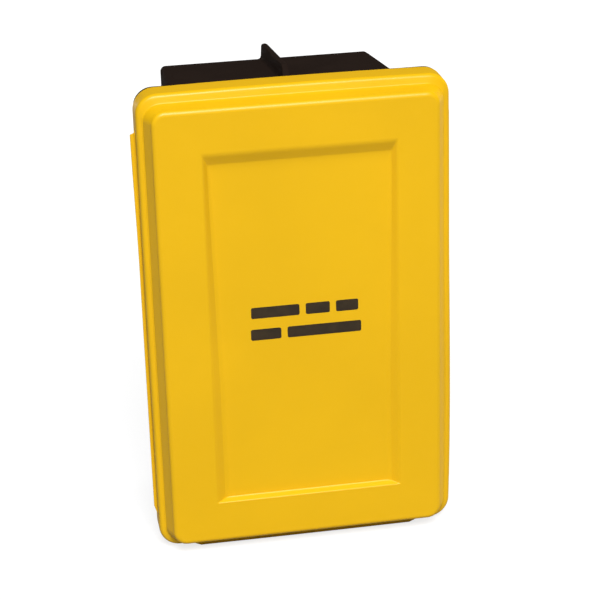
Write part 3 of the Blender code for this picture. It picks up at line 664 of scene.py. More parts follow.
def make_back_shell():
    outside = [rounded_ring(TUB_BACK, 0, 16)]
    for inset, y in ((2.2, 0.0), (1.1, -0.25), (0.35, -0.9), (0.0, -2.2)):
        outside.append(rounded_ring(TUB_BACK, y, inset, shift=rib_shift(y)))
    for y in (-12, -40, -80, -120, -138, RIB_SLOPE_Y, -144, -150, -155):
        outside.append(rounded_ring(tub_size(y), y, shift=rib_shift(y)))
    for step in range(1, 8):
        a = math.pi / 2 * step / 7
        y = FLANGE_REAR_Y + TUB_FILLET * (1 - math.sin(a))
        outset = TUB_FILLET * (1 - math.cos(a))
        outside.append(rounded_ring(TUB_FRONT, y, -outset, shift=rib_shift(y)))
    for y, inset in ((FLANGE_REAR_Y, 0.6), (FLANGE_REAR_Y - 0.2, 0.15), (FLANGE_REAR_Y - 0.7, 0.0),
            (FLANGE_FRONT_Y + 0.7, 0.0), (FLANGE_FRONT_Y + 0.15, 0.2),
            (FLANGE_FRONT_Y, 0.7)):
        outside.append(rounded_ring(FLANGE, y, inset))
    inside = [
        *bend(TUB_FRONT, (TUB_WALL - 1.2, FLANGE_FRONT_Y), (TUB_WALL, FLANGE_FRONT_Y + 1.2), False,
            3),
        *bend(TUB_BACK, (TUB_WALL, -TUB_WALL - 3), (TUB_WALL + 3, -TUB_WALL), True, 5),
    ]
    shell = skin("shell_moulding", outside + inside, BLACK)
    outline = [(SHELL_ROOT_X, FLANGE_REAR_Y - 0.3), (SHELL_ROOT_X, FLANGE_FRONT_Y + 0.4)]
    outline += arc(HINGE, KNUCKLE_RADIUS, 170, 390, 18) + [(RIM[0], FLANGE_REAR_Y - 0.3)]
    joined = [prism(f"knuckle_{i}", outline, *span) for i, span in enumerate(knuckle_spans(0))]
    holes = [((x, 5, z), WALL_HOLE_RADIUS) for x in (-WALL_HOLE_X, WALL_HOLE_X)
            for z in (-WALL_HOLE_Z, WALL_HOLE_Z)]
    holes += [((CATCH_X + side, -160, z), 1.9) for z in CATCH_ZS.values()
            for side in (-CATCH_SCREW_DX, CATCH_SCREW_DX)]
    holes += [((0, 5, z), HOOK_HOLE_RADIUS) for z in HOOK_SCREW_ZS.values()]
    carve(shell, joined, [hinge_bore()] + [drill(*hole) for hole in holes])
    return ride(shell, "case", "black_shell", "back_shell")


# Gasket, hinge pin, catches and hook


def make_gasket():
    """A foam strip with a rounded top, laid round the flange."""
    front, rear = DOOR_REAR_Y + 0.35, FLANGE_FRONT_Y - 0.3
    rings = []
    for inset, y in ((3.1, rear), (3.1, front + 0.7), (3.5, front + 0.2), (4.6, front),
            (7.4, front),
            (8.5, front + 0.2), (8.9, front + 0.7), (8.9, rear)):
        rings.append(rounded_ring(RIM, y, inset))
    strip = skin("gasket_strip", rings, GASKET, closed=True)
    return ride(strip, "case", "gasket", "door_gasket")


def keep(node_name, made, bevel=0.0):
    """A CAD node whose shape is right keeps it, with softer edges and its own material."""
    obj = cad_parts[node_name]
    obj.data.materials.clear()
    obj.data.materials.append(made)
    weld = obj.modifiers.new("Weld", "WELD")
    weld.merge_threshold = 0.000005
    if bevel:
        edges = obj.modifiers.new("Round edges", "BEVEL")
        edges.width, edges.segments, edges.limit_method = bevel * MM, 3, "ANGLE"
        edges.angle_limit = math.radians(38)
    return obj


def screw_mesh(name, shank_r, length, head_r, head_h):
    """A pan head screw with a cross recess. Its head sits on z 0."""
    profile = [(0, head_h)]
    for step in range(1, 9):
        a = step / 8 * math.pi / 2
        profile.append((head_r * math.sin(a) ** 0.8, head_h * (0.25 + 0.75 * math.cos(a))))
    profile += [(head_r, 0), (shank_r, 0)]
    turns = max(int(length / 0.9), 2)
    for turn in range(turns):
        high = -0.5 - turn * (length - 2.2) / turns
        profile += [(shank_r * 0.82, high), (shank_r, high - 0.3 * (length - 2.2) / turns)]
    profile += [(shank_r * 0.8, -length + 1.4), (0, -length)]
    screw = turned(name, profile, (0, 0, 0), (0, 0, 1), SCREW_STEEL, steps=32)
    wide, slim, deep = head_r * 0.62, head_r * 0.13, head_h * 0.45
    slots = [box("slot", (-a, -b, deep), (a, b, head_h + 1)) for a,
            b in ((wide, slim), (slim, wide))]
    carve(screw, removed=slots)
    mesh = evaluated_mesh(screw)
    bpy.data.objects.remove(screw)
    return mesh


def aimed(place, towards, turn):
    """A matrix that takes Z to a direction through place, after a turn in degrees about it."""
    aim = Vector(towards).to_track_quat("Z", "Y").to_matrix().to_4x4()
    return Matrix.Translation(Vector(place) * MM) @ aim @ Matrix.Rotation(math.radians(turn), 4,
            "Z")


def place_screw(name, mesh, seat, towards, turn, body, cad_node):
    screw = link(name, mesh)
    screw.matrix_world = aimed(seat, towards, turn)
    return ride(screw, body, "screw_steel", cad_node)


def make_screws():
    catch = screw_mesh("catch_screw_mesh", 1.5, 8.5, 3.0, 1.8)
    strike = screw_mesh("strike_screw_mesh", 1.2, 10.0, 2.6, 1.4)
    hook = screw_mesh("hook_screw_mesh", 2.0, 5.5, 4.0, 2.2)
    screws = []
    for where, z in CATCH_ZS.items():
        for side, dx in (("outer", -CATCH_SCREW_DX), ("inner", CATCH_SCREW_DX)):
            screws.append(("pan", "catch", f"{where}_{side}", catch, (CATCH_X + dx, -171.6, z), OUT,
                    "case"))
        for end, dz in (("top", STRIKE_SCREW_DZ), ("bottom", -STRIKE_SCREW_DZ)):
            screws.append(("plate", "strike", f"{where}_{end}", strike, (CATCH_X, -179.0, z + dz),
                    (0, 1, 0), "door"))
    for where, z in HOOK_SCREW_ZS.items():
        screws.append(("bracket", "hook", where, hook, (0, -6.1, z), OUT, "case"))
    for count, (kind, part, where, mesh, seat, towards, body) in enumerate(screws):
        place_screw(f"{kind}_screw_{where}", mesh, seat, towards, 11 + 37 * count, body,
                f"{part}_screw_{where}")


def make_hook():
    """A steel plate with round corners and a hook of bent rod welded to it."""
    rear, front = -3.8, -5.8
    half_w, low, high, corner = 22.0, 150.0, 212.0, 4.0
    rings = []
    for y, inset in ((rear, 0.4), (rear - 0.4, 0), (front + 0.4, 0), (front, 0.4)):
        outline = rounded_outline(half_w, (high - low) / 2, corner, 6, (0.0, (low + high) / 2),
                inset)
        rings.append([(x, y, z) for x, z in outline])
    plate = skin("bracket_plate", rings, ZINC)
    z0, reach, bend_r = 180.0, 96.0, 8.0
    path = [(rear - 1.0, z0), (front - 0.2, z0), (front - 1.2, z0), (front - 3.0, z0)]
    path += [(y, z0) for y in np.linspace(front - 12, -reach + bend_r, 7)]
    path += [(-reach + bend_r - bend_r * math.sin(a), z0 + bend_r * (1 - math.cos(a)))
            for a in np.radians(np.linspace(15, 90, 6))]
    path += [(-reach, z0 + 12.0), (-reach, z0 + 14.6), (-reach, z0 + 15.6), (-reach, z0 + 16.0)]
    radii = [5.6, 5.4, 4.2, 3.5] + [3.5] * (len(path) - 7) + [3.4, 2.6, 1.2]
    tube = []
    for i, ((y, z), radius) in enumerate(zip(path, radii)):
        before, after = path[max(i - 1, 0)], path[min(i + 1, len(path) - 1)]
        along = Vector((0, after[0] - before[0], after[1] - before[1])).normalized()
        side = Vector((1, 0, 0))
        up = side.cross(along)
        tube.append([Vector((0, y, z)) + (side * math.cos(a) + up * math.sin(a)) * radius
                for a in np.linspace(0, 2 * math.pi, 24, endpoint=False)])
    rod = skin("hook_rod", tube)
    carve(plate, [rod], [drill((0, 5, z), HOOK_HOLE_RADIUS) for z in HOOK_SCREW_ZS.values()])
    return ride(plate, "case", "hook_steel", "hook_bracket")


# Hood. It is described by half width and half depth at each height under its crown.

HOOD_Y, CROWN_Z, HOOD_LOW_Z = -75.0, 150.0, -175.0
HOOD_LEVELS = np.array((
    (0.0, 20.0, 12.0), (4.0, 45.0, 28.0), (20.0, 72.0, 45.0), (50.0, 88.0, 57.0),
    (90.0, 96.0, 62.0),
    (140.0, 97.0, 62.0), (190.0, 93.0, 61.0), (240.0, 87.0, 57.0), (285.0, 82.0, 53.0),
    (325.0, 84.0, 55.0),
))
HOOD_POWER = 2 / 2.3
VISOR_ANGLE, VISOR_LOW_Z, VISOR_HIGH_Z = 0.80, 25.0, 115.0
PORT_Z, EXHALE_Z = -35.0, -107.0


def hood_point(angle, z, offset=0.0):
    """A point on the bag's outside, pushed out by offset. Angle 0 is the front."""
    under = min(max(CROWN_Z - z, 0.0), 325.0)
    half_w = np.interp(under, HOOD_LEVELS[:, 0], HOOD_LEVELS[:, 1]) + offset
    half_d = np.interp(under, HOOD_LEVELS[:, 0], HOOD_LEVELS[:, 2]) + offset
    side, front = math.sin(angle), math.cos(angle)
    x = math.copysign(abs(side) ** HOOD_POWER, side) * half_w
    y = math.copysign(abs(front) ** HOOD_POWER, front) * half_d
    return Vector((x, HOOD_Y - y, z))


def hood_ring(z, offset, count=120):
    return [hood_point(2 * math.pi * i / count, z, offset) for i in range(count)]


def add_uv(obj, place):
    """Gives the mesh a UV map in metres from place(vertex index)."""
    layer = obj.data.uv_layers.new(name="uv")
    for loop in obj.data.loops:
        layer.data[loop.index].uv = place(loop.vertex_index)
    return obj


HOOD_COLUMNS = 96
HOOD_ROWS = [CROWN_Z - 5.0 * k for k in range(66)]


def in_visor(angle, z, grow=0.0):
    across = abs(angle) < VISOR_ANGLE - 0.015 + grow / 80
    return across and VISOR_LOW_Z + 4 - grow < z < VISOR_HIGH_Z - 4 + grow


def in_port(point, z, radius):
    return point.y < HOOD_Y and (point.x ** 2 + (point.z - z) ** 2) < radius ** 2


def crown_point(angle, share):
    """A point of the low dome that closes the bag's top. Share 0 is its middle."""
    rim = hood_point(angle, CROWN_Z)
    return Vector((rim.x * share, HOOD_Y + (rim.y - HOOD_Y) * share,
            CROWN_Z + 0.35 * (1 - share ** 2)))


def make_hood_bag():
    """Coated fabric, draped by a cloth simulation between its visor, ports, seams and neck."""
    angles = [2 * math.pi * i / HOOD_COLUMNS for i in range(HOOD_COLUMNS)]
    signed = [a if a <= math.pi else a - 2 * math.pi for a in angles]
    bm = bmesh.new()
    rows, fixed, places = [], [], []
    for share in (0.3, 0.65):
        rows.append([bm.verts.new(crown_point(a, share) * MM) for a in angles])
        fixed += [1.0] * HOOD_COLUMNS
        places += [(a * 0.02 * share, 0.16) for a in signed]
    for z in HOOD_ROWS:
        row = []
        for a, s in zip(angles, signed):
            point = hood_point(a, z)
            near_visor = in_visor(s, z, 9.0)
            near_port = in_port(point, PORT_Z, 33.0) or in_port(point, EXHALE_Z, 23.0)
            seam = abs(abs(s) - math.pi / 2) < 0.05
            end = z > 143 or z < HOOD_LOW_Z + 6
            weight = 1.0 if near_visor or near_port or end else 0.75 if seam else 0.0
            fixed.append(weight)
            places.append((s * 0.085, z * MM))
            row.append(bm.verts.new(point * MM))
        rows.append(row)
    middle = bm.verts.new(crown_point(0, 0) * MM)
    fixed.append(1.0)
    places.append((0, 0.17))
    for upper, lower, z in zip(rows, rows[1:], [999, 999] + HOOD_ROWS):
        for i in range(HOOD_COLUMNS):
            j = (i + 1) % HOOD_COLUMNS
            centre = (upper[i].co + lower[j].co) / 2 / MM
            angle = (signed[i] + signed[j]) / 2 if i != HOOD_COLUMNS // 2 else math.pi
            if in_visor(angle, centre.z) or in_port(centre, PORT_Z, 19.0) or in_port(centre,
                    EXHALE_Z,
                    13.0):
                continue
            bm.faces.new((upper[i], upper[j], lower[j], lower[i]))
    for i in range(HOOD_COLUMNS):
        bm.faces.new((rows[0][i], middle, rows[0][(i + 1) % HOOD_COLUMNS]))
    bmesh.ops.recalc_face_normals(bm, faces=bm.faces)
    bm.verts.index_update()
    loose = {v.index for v in bm.verts if not v.link_faces}
    fixed = [w for i, w in enumerate(fixed) if i not in loose]
    places = [p for i, p in enumerate(places) if i not in loose]
    bmesh.ops.delete(bm, geom=[v for v in bm.verts if not v.link_faces], context="VERTS")
    bag = from_bmesh("hood_fabric_bag", bm, FABRIC, sharp=80)
    add_uv(bag, lambda index: places[index])
    drape(bag, fixed, cap=5.0)
    finish_sheet(bag, 0.9)
    return ride(bag, "hood", "hood_fabric", "hood_bag")


def drape(obj, fixed, cap, frames=26):
    """Lets the free fabric sag and wrinkle. No point moves further than cap."""
    group = obj.vertex_groups.new(name="pin")
    for index, weight in enumerate(fixed):
        group.add([index], weight, "REPLACE")
    rest = np.array([v.co for v in obj.data.vertices])
    cloth = obj.modifiers.new("Cloth", "CLOTH")
    settings = cloth.settings
    settings.quality = 7
    settings.mass = 0.12
    settings.tension_stiffness = settings.compression_stiffness = 25
    settings.shear_stiffness = 8
    settings.bending_stiffness = 0.08
    settings.vertex_group_mass = "pin"
    settings.shrink_min = -0.045
    settings.use_pressure = True
    settings.uniform_pressure_force = 0.6
    cloth.point_cache.frame_start, cloth.point_cache.frame_end = 1, frames
    scene = bpy.context.scene
    for step in range(1, frames + 1):
        scene.frame_set(step)
    moved = evaluated_mesh(obj)
    places = np.array([v.co for v in moved.vertices])
    shift = places - rest
    length = np.linalg.norm(shift, axis=1, keepdims=True)
    shift *= np.minimum(1, cap * MM / np.maximum(length, 1e-9))
    obj.modifiers.clear()
    obj.data.vertices.foreach_set("co", (rest + shift).ravel())
    obj.data.update()
    scene.frame_set(1)


def finish_sheet(obj, thick):
    """Gives a single sheet its thickness and one subdivision, and applies both."""
    solid = obj.modifiers.new("Thickness", "SOLIDIFY")
    solid.thickness, solid.offset = thick * MM, -1.0
    smooth = obj.modifiers.new("Smooth", "SUBSURF")
    smooth.levels = smooth.render_levels = 1
    return bake(obj, 75)


def hood_track(half_angle, low_z, high_z, corner, spacing=3.0):
    """Points (angle, z) round a rounded rectangle on the bag, each with its outward direction."""
    scale = 80.0
    half_w, mid, half_h = half_angle * scale, (low_z + high_z) / 2, (high_z - low_z) / 2
    track = []
    for quarter, (sx, sz) in enumerate(QUARTERS):
        centre = (sx * (half_w - corner), sz * (half_h - corner))
        for u, v in arc(centre, corner, 90 * quarter, 90 * quarter + 90, 8):
            outward = Vector((u - centre[0], v - centre[1])).normalized()
            track.append((u, v, outward))
        nx, nz = QUARTERS[(quarter + 1) % 4]
        after = (nx * (half_w - corner), nz * (half_h - corner))
        length = math.dist(centre, after)
        count = int(length / spacing)
        side = Vector(((0, 1), (-1, 0), (0, -1), (1, 0))[quarter])
        for k in range(1, count):
            t = k / count
            track.append((centre[0] + (after[0] - centre[0]) * t + side.x * corner,
                    centre[1] + (after[1] - centre[1]) * t + side.y * corner, side))
    return [(u / scale, v + mid, out.x / scale, out.y) for u, v, out in track]


def track_band(name, track, section, made):
    """Sweeps a section of (outward, height) points round a track on the bag."""
    rings = [[hood_point(a + da * w, z + dz * w, h) for w, h in section] for a, z, da, dz in track]
    return skin(name, rings, made, closed=True, sharp=50)


def make_visor():
    """A clear sheet held in a soft binding that is sewn on with two rows of stitches."""
    track = hood_track(VISOR_ANGLE - 0.047, VISOR_LOW_Z + 4, VISOR_HIGH_Z - 4, 10.0)
    section = [(-4.2, 1.1), (-4.4, 1.9), (-4.1, 2.7), (-3.2, 3.2), (-1.6, 3.4), (0, 3.3),
            (1.6, 3.4),
            (3.0, 3.1), (3.8, 2.4), (4.0, 1.6), (3.9, 1.0), (0, 0.95)]
    band = track_band("visor_welt", track, section, BINDING)
    ride(band, "hood", "visor_binding", "visor_frame")
    for row, shift in (("inner", -2.5), ("outer", 2.3)):
        line = [hood_point(a + da * shift, z + dz * shift, 3.3) for a, z, da, dz in track]
        ride(stitches("visor_stitches_" + row, line, DARK_THREAD if row == "inner" else THREAD),
             "hood",
             "visor_binding")
    half_angle, low_z, high_z = VISOR_ANGLE - 0.097, VISOR_LOW_Z + 8.4, VISOR_HIGH_Z - 8.4
    columns, levels = 40, 20
    bm = bmesh.new()
    sides = []
    for height in (1.3, 2.5):
        grid = []
        for j in range(levels + 1):
            z = low_z + (high_z - low_z) * j / levels
            grid.append([bm.verts.new(hood_point(half_angle * (2 * i / columns - 1), z,
                    height) * MM)
                    for i in range(columns + 1)])
        sides.append(grid)
        for j in range(levels):
            for i in range(columns):
                bm.faces.new((grid[j][i], grid[j][i + 1], grid[j + 1][i + 1], grid[j + 1][i]))
    for run in (lambda g: g[0], lambda g: g[-1], lambda g: [r[0] for r in g],
            lambda g: [r[-1] for r in g]):
        inner, outer = run(sides[0]), run(sides[1])
        for i in range(len(inner) - 1):
            bm.faces.new((inner[i], inner[i + 1], outer[i + 1], outer[i]))
    lens = from_bmesh("visor_pane", bm, CLEAR, sharp=40)
    ride(lens, "hood", "visor_sheet", "visor_lens")


def stitches(name, line, made, length=2.6, gap=1.3, radius=0.32, closed=True):
    """Short thread stitches sunk into a surface along a line of points."""
    line = [Vector(p) for p in line] + ([Vector(line[0])] if closed else [])
    steps = [0.0]
    for a, b in zip(line, line[1:]):
        steps.append(steps[-1] + (b - a).length)
    knots = np.array([tuple(p) for p in line])

    def at(distance):
        return Vector([np.interp(distance, steps, knots[:, k]) for k in range(3)])
    count = int(steps[-1] / (length + gap))
    pitch = steps[-1] / count
    bm = bmesh.new()
    for k in range(count):
        start, end = at(k * pitch), at(k * pitch + length * pitch / (length + gap))
        along = (end - start).normalized()
        side = along.orthogonal().normalized()
        up = along.cross(side)
        around = [side * math.cos(a) + up * math.sin(a)
                for a in np.linspace(0, 2 * math.pi, 6, endpoint=False)]
        add_rings(bm, [[start.lerp(end, t) + out * radius * size for out in around]
                for t, size in ((0.0, 0.45), (0.2, 1.0), (0.8, 1.0), (1.0, 0.45))])
    return from_bmesh(name, bm, made, sharp=60)


def make_seams():
    """Sealed tape over the side seams, and a hem round the neck."""
    for name, angle in (("right", math.pi / 2), ("left", -math.pi / 2)):
        rings = []
        for z in np.linspace(144, -170, 80):
            half = 3.6 / 62
            rings.append([hood_point(angle + w * half, z, h) for w, h in
                    ((-1, -0.5), (-1, 0.55), (-0.8, 0.75), (0, 0.85), (0.8, 0.75), (1, 0.55),
                    (1, -0.5))])
        ride(skin("seam_tape_" + name, rings, TAPE, sharp=50), "hood", "hood_fabric")
        for side in (-0.7, 0.7):
            line = [hood_point(angle + side * half, z, 0.8) for z in np.linspace(142, -168, 90)]
            label = f"seam_stitches_{name}_{'front' if (side < 0) == (angle > 0) else 'rear'}"
            ride(stitches(label, line, THREAD, closed=False), "hood", "hood_fabric")
    hem = ((-2.0, -174.6), (-0.6, -175.2), (0.6, -174.8), (1.0, -173.6), (0.9, -166),
        (0.5, -164.6), (-1.0, -164.8), (-2.2, -166))
    rings = [hood_ring(z, offset) for offset, z in hem]
    ride(skin("neck_hem", rings, TAPE, closed=True, sharp=50), "hood", "hood_fabric")
    ride(stitches("hem_stitches", hood_ring(-167.5, 0.95), THREAD), "hood", "hood_fabric")


def make_neck_seal():
    """An elastic collar gathered into fine pleats towards its opening."""
    low_z, count, pleat = -171.0, 240, 0.9
    section = [(-2.8, low_z + 11.5, 0.0)]
    for t in np.linspace(0, 1, 12):
        section.append((-2.9 - 29.0 * t, low_z - 0.2 - 1.8 * math.sin(t * math.pi / 2), t))
    rings = []
    for offset, z, t in section:
        rings.append([point + Vector((0, 0, pleat * t * math.sin(i * 2 * math.pi / 5)))
            for i, point in enumerate(hood_ring(z, offset, count))])
    rings += [[p + Vector((0, 0, 1.2)) for p in ring] for ring in rings[:0:-1]]
    rings.append(hood_ring(low_z + 11.5, -4.2, count))
    seal = skin("neck_collar", rings, ELASTIC, closed=True, sharp=60)
    add_uv(seal, lambda index: ((index % count) * 0.0018, (index // count) * 0.004))
    return ride(seal, "hood", "neck_elastic", "neck_seal")


def band_loop(name, outline, low_y, high_y, thick, made):
    """A strap of even thickness bent along a closed outline of (x, z, outward) points."""
    section = [(0.0, 0.35), (0.25, 0.1), (0.6, 0.0), (thick - 0.6, 0.0), (thick - 0.25, 0.1),
            (thick, 0.35)]
    rings, places = [], []
    travelled = 0.0
    before = None
    for x, z, out in outline:
        if before:
            travelled += math.dist(before, (x, z))
        before = (x, z)
        ring = []
        for depth, inset in section:
            ring.append((x - out.x * depth, high_y - inset, z - out.y * depth))
        for depth, inset in reversed(section):
            ring.append((x - out.x * depth, low_y + inset, z - out.y * depth))
        rings.append(ring)
        places += [(travelled * MM, p[1] * MM) for p in ring]
    band = skin(name, rings, made, closed=True, sharp=50)
    return add_uv(band, lambda index: places[index])


def make_carry_loop():
    low_z, high_z = CROWN_Z + 0.7, 185.6
    half_w, half_h, corner = 20.0, (high_z - low_z) / 2, 12.0
    mid = (low_z + high_z) / 2
    outline = []
    for quarter, (sx, sz) in enumerate(QUARTERS):
        centre = (sx * (half_w - corner), mid + sz * (half_h - corner))
        for x, z in arc(centre, corner, 90 * quarter, 90 * quarter + 90, 12):
            outline.append((x, z, Vector((x - centre[0], z - centre[1])).normalized()))
    loop = band_loop("webbing_loop", outline, HOOD_Y - 10, HOOD_Y + 10, 2.0, WEBBING)
    ride(loop, "hood", "webbing", "carry_loop")
    for name, y in (("front", HOOD_Y - 7.4), ("rear", HOOD_Y + 7.4)):
        line = [(x + out.x * 0.05, y, z + out.y * 0.05) for x, z, out in outline]
        ride(stitches("loop_stitches_" + name, line, THREAD, 2.2, 1.2, 0.25), "hood", "webbing")


def make_head_strap():
    """A ribbed elastic band inside the bag, round the back of the head."""
    half_angle = math.pi - 0.95
    columns = 72
    rings, places = [], []
    for i in range(columns + 1):
        angle = math.pi + half_angle * (2 * i / columns - 1)
        dip = -2.0 * math.cos((2 * i / columns - 1) * math.pi / 2) + 1.0
        ring = [(-14.0, -19.4), (-14.0, -0.6), (-13.6, -0.1), (-12.8, -0.1), (-12.4, -0.6),
                (-12.4, -19.4), (-12.8, -19.9), (-13.6, -19.9)]
        rings.append([hood_point(angle, z + dip, offset) for offset, z in ring])
        places += [(z * MM, angle * 0.075) for _, z in ring]
    strap = skin("elastic_strap", rings, STRAP, sharp=50)
    add_uv(strap, lambda index: places[index])
    return ride(strap, "hood", "strap_elastic", "head_strap")


# Filter and valves, turned about axes that point out of the hood's front


def turned_piece(name, profile, place, made, steps, slot, cad_node, sharp=32.0):
    ride(turned(name, profile, place, OUT, made, steps, True, sharp), "hood", slot, cad_node)


def make_ports():
    port = (0, 0, PORT_Z)
    adapter = [
        (16, 150), (20, 150), (20, 141), (30, 141), (30, 137.6), (20.5, 137.6), (20.5, 119),
        (16, 119), (16, 131), (11, 131), (11, 133), (16, 133),
    ]
    thread = []
    for k in range(8):
        thread += [(19.5, 149.4 - k), (20.0, 149.0 - k)]
    # The thread stands for the first two corners, which rounding turns into four points each.
    profile = [(16, 150), (19.0, 150)] + thread + rounded_profile(adapter, 0.5, 3, True)[2 * 4:]
    turned_piece("adapter_ring", profile, port, PORT_PLASTIC, 72, "port_plastic", "canister_adapter")
    nut = rounded_profile([(21, 131.5), (29, 131.5), (29, 127), (21, 127)], 0.5, 3, True)
    turned_piece("ring_nut", nut, port, PORT_PLASTIC, 72, "port_plastic", "adapter_nut")
    cup = [
        (21, 126.4), (23.5, 126.4), (26, 122), (36, 104), (41, 86), (43.5, 80), (41, 80), (38, 86),
        (33.5, 104), (24, 120.5), (21, 120.5),
    ]
    cup = rounded_profile(cup, 2.5, 4, True)
    turned_piece("oral_cup", cup, port, SILICONE, 72, "silicone", "nose_cup", 60)
    place = (0, 0, EXHALE_Z)
    seat = [(10, 135.6), (20, 135.6), (20, 132.8), (14, 132.8), (14, 124), (10, 124)]
    seat = rounded_profile(seat, 0.4, 3, True)
    turned_piece("valve_seat", seat, place, PORT_PLASTIC, 64, "port_plastic", "exhale_seat")
    cover = [
        (0, 144), (16, 144), (20, 140.5), (20, 135.9), (17.5, 135.9), (17.5, 140), (15, 141.6),
        (0, 141.6),
    ]
    cap = turned("valve_cover", rounded_profile(cover, [0, 2.0, 1.2, 0.4, 0.3, 0.6, 0.6, 0], 4),
            place, OUT,
            PORT_PLASTIC, 64)
    slots = []
    for angle in (0, 60, 120):
        slot = box("slot", (-22, -1.5, 137.2), (22, 1.5, 139.4))
        slot.matrix_world = aimed(place, OUT, angle)
        slots.append(slot)
    for radius in (6.5, 12.0):
        slots.append(turned("groove",
                [(radius, 145), (radius + 1, 145), (radius + 1, 143.5),
                (radius, 143.5)],
                place, OUT, steps=64, closed=True))
    carve(cap, removed=slots)
    ride(cap, "hood", "port_plastic", "exhale_cover")
    keep("inhale_valve", SILICONE)
    keep("exhale_flap", SILICONE)


def make_canister():
    port = (0, 0, PORT_Z)
    r = 48.0
    housing = [(15.5, 191.4), (16, 192), (17.4, 192), (18, 191.4), (18, 189.2), (18.8, 188.3),
            (24, 188.0),
            (26, 188.0), (27, 187.6), (30, 187.6), (31, 188.0), (r - 7, 188.0), (r - 5.6, 187.5),
            (r - 4.6, 187.9), (r - 2.8, 188.2), (r - 1.0, 187.6), (r - 0.2, 186.4),
            (r - 0.1, 184.8),
            (r - 0.9, 183.8), (r - 1.2, 183.0)]
    for bead in (176.0, 163.0):
        housing += [(r - 1.2, bead + 2.0), (r - 0.7, bead + 1.5), (r - 0.2, bead + 0.7),
                (r - 0.05, bead),
                (r - 0.2, bead - 0.7), (r - 0.7, bead - 1.5), (r - 1.2, bead - 2.0)]
    housing += [(r - 1.2, 156.6), (r - 0.9, 155.6), (r - 0.1, 154.8), (r - 0.1, 153.4),
            (r - 0.8, 152.2),
            (r - 2.4, 151.2), (r - 4, 151), (27, 151), (26.3, 150.7), (26, 150), (26, 143.5),
            (25.5, 143),
            (20.9, 143), (20.5, 143.4), (20.5, 153), (r - 4.5, 153), (r - 2.6, 156),
            (r - 2.6, 184.5), (r - 4, 186.5), (15, 186.5), (15, 191)]
    can = turned("canister_body", housing, port, OUT, PAINT, 96, closed=True, sharp=40)
    ride(can, "canister", "canister_paint", "canister_housing")
    grips = []
    profile = [(0, 195.0), (13, 195.0), (14, 195.35), (16, 195.5), (20.2, 195.5), (21.1, 195.2),
            (21.5, 194.4),
            (21.5, 189.1), (21.2, 188.6), (18.7, 188.6), (18.4, 188.9), (18.4, 192.6),
            (0, 192.6)]
    cap = turned("inlet_plug", profile, port, OUT, CAP_RED, 96)
    for i in range(36):
        a = 2 * math.pi * i / 36
        place = (21.95 * math.cos(a), 0, PORT_Z + 21.95 * math.sin(a))
        grips.append(turned("grip", [(0, 194.6), (0.75, 194.2), (0.75, 188), (0, 188)], place, OUT,
                steps=10))
    merged = grips[0]
    with bpy.context.temp_override(active_object=merged, object=merged, selected_objects=grips,
            selected_editable_objects=grips):
        bpy.ops.object.join()
    carve(cap, removed=[merged])
    ride(cap, "cap", "cap_plastic", "inlet_cap")
    keep("carbon_bed", CARBON)
    keep("particulate_filter", PAPER)


make_door()
make_print()
make_back_shell()
make_gasket()
keep("hinge_pin", PIN_STEEL)
for where in CATCH_ZS:
    keep("catch_housing_" + where, WHITE, 0.5)
    keep("catch_magnet_" + where, MAGNET)
    keep("strike_plate_" + where, STRIKE_STEEL)
make_screws()
make_hook()
make_hood_bag()
make_visor()
make_seams()
make_neck_seal()
make_carry_loop()
make_head_strap()
make_ports()
make_canister()


# Floor, light and camera


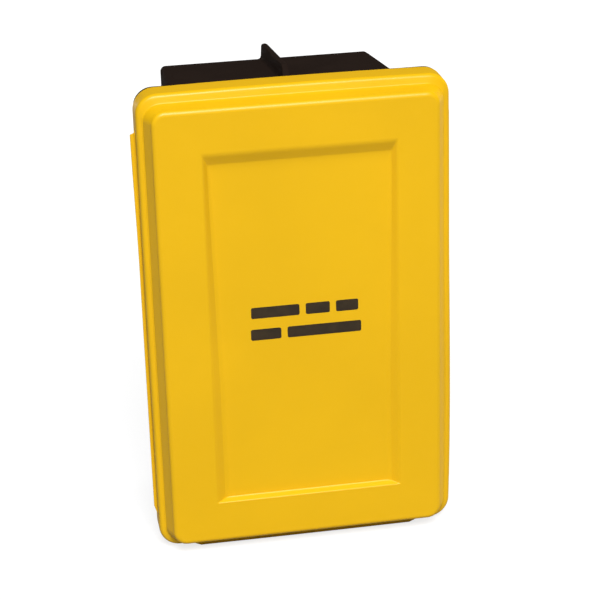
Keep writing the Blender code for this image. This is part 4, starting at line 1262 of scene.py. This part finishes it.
def make_floor():
    """A pale floor under the case. It lights the case less than it shows, as a studio sweep does."""
    low, _ = CAD_BOX
    bpy.ops.mesh.primitive_plane_add(size=60, location=(0, 0, low.z))
    floor = bpy.context.object
    floor.name = "floor"
    made = bpy.data.materials.new("pale_floor")
    made.use_nodes = True
    tree = made.node_tree
    shader = tree.nodes["Principled BSDF"]
    seen = node(tree, "ShaderNodeLightPath").outputs["Is Camera Ray"]
    place = node(tree, "ShaderNodeTexCoord").outputs["Object"]
    pale = mixed(tree, noise(tree, place, 3.0), (0.27, 0.27, 0.27, 1), (0.29, 0.29, 0.29, 1))
    tree.links.new(mixed(tree, seen, (0.27, 0.27, 0.27, 1), pale), shader.inputs["Base Color"])
    shader.inputs["Emission Color"].default_value = (1, 1, 1, 1)
    away = node(tree, "ShaderNodeVectorMath", {0: place}, operation="LENGTH").outputs["Value"]
    glow = scaled(tree, ramp(tree, away, 1.2, 6.0), 0.26, 0.76)
    tree.links.new(maths(tree, "MULTIPLY", seen, glow), shader.inputs["Emission Strength"])
    shader.inputs["Roughness"].default_value = 0.9
    shader.inputs["Specular IOR Level"].default_value = 0.1
    floor.data.materials.append(made)


def make_light(name, place, size, watts, mirrored=True):
    data = bpy.data.lights.new(name, "AREA")
    data.energy, data.size = watts, size
    light = link(name, data)
    light.visible_glossy = mirrored
    light.location = place
    light.rotation_euler = (-Vector(place)).to_track_quat("-Z", "Y").to_euler()


def make_world():
    world = bpy.data.worlds.new("studio")
    world.use_nodes = True
    tree = world.node_tree
    background = tree.nodes["Background"]
    seen = node(tree, "ShaderNodeLightPath").outputs["Is Camera Ray"]
    background.inputs["Color"].default_value = (1, 1, 1, 1)
    tree.links.new(scaled(tree, seen, 0.94, 0.06), background.inputs["Strength"])
    bpy.context.scene.world = world


CAMERA_PLACE = (-0.3397, -2.2462, 0.8854)
CAMERA_FORWARD = (0.1513, 0.9106, -0.3845)
CAMERA_UP = (0.0911, 0.3745, 0.9227)
LENS, SENSOR_WIDTH = 121.7, 36.0


def make_camera():
    forward = Vector(CAMERA_FORWARD).normalized()
    right = forward.cross(Vector(CAMERA_UP)).normalized()
    up = right.cross(forward)
    data = bpy.data.cameras.new("camera")
    data.lens, data.sensor_width = LENS, SENSOR_WIDTH
    camera = link("camera", data)
    camera.matrix_world = (Matrix.Translation(CAMERA_PLACE)
            @ Matrix((right, up, -forward)).transposed().to_4x4())
    bpy.context.scene.camera = camera


make_floor()
make_light("key", (-0.45, -8.9, 9.3), 5.6, 2160)
make_light("left", (-3.2, -1.2, 1.2), 2.6, 5, False)
make_light("right", (3.2, 1.4, 0.6), 1.7, 90, False)
make_light("rear", (-1.2, 4.4, 0.45), 1.4, 180, False)
make_world()
make_camera()
bpy.context.scene.view_settings.view_transform = "Standard"
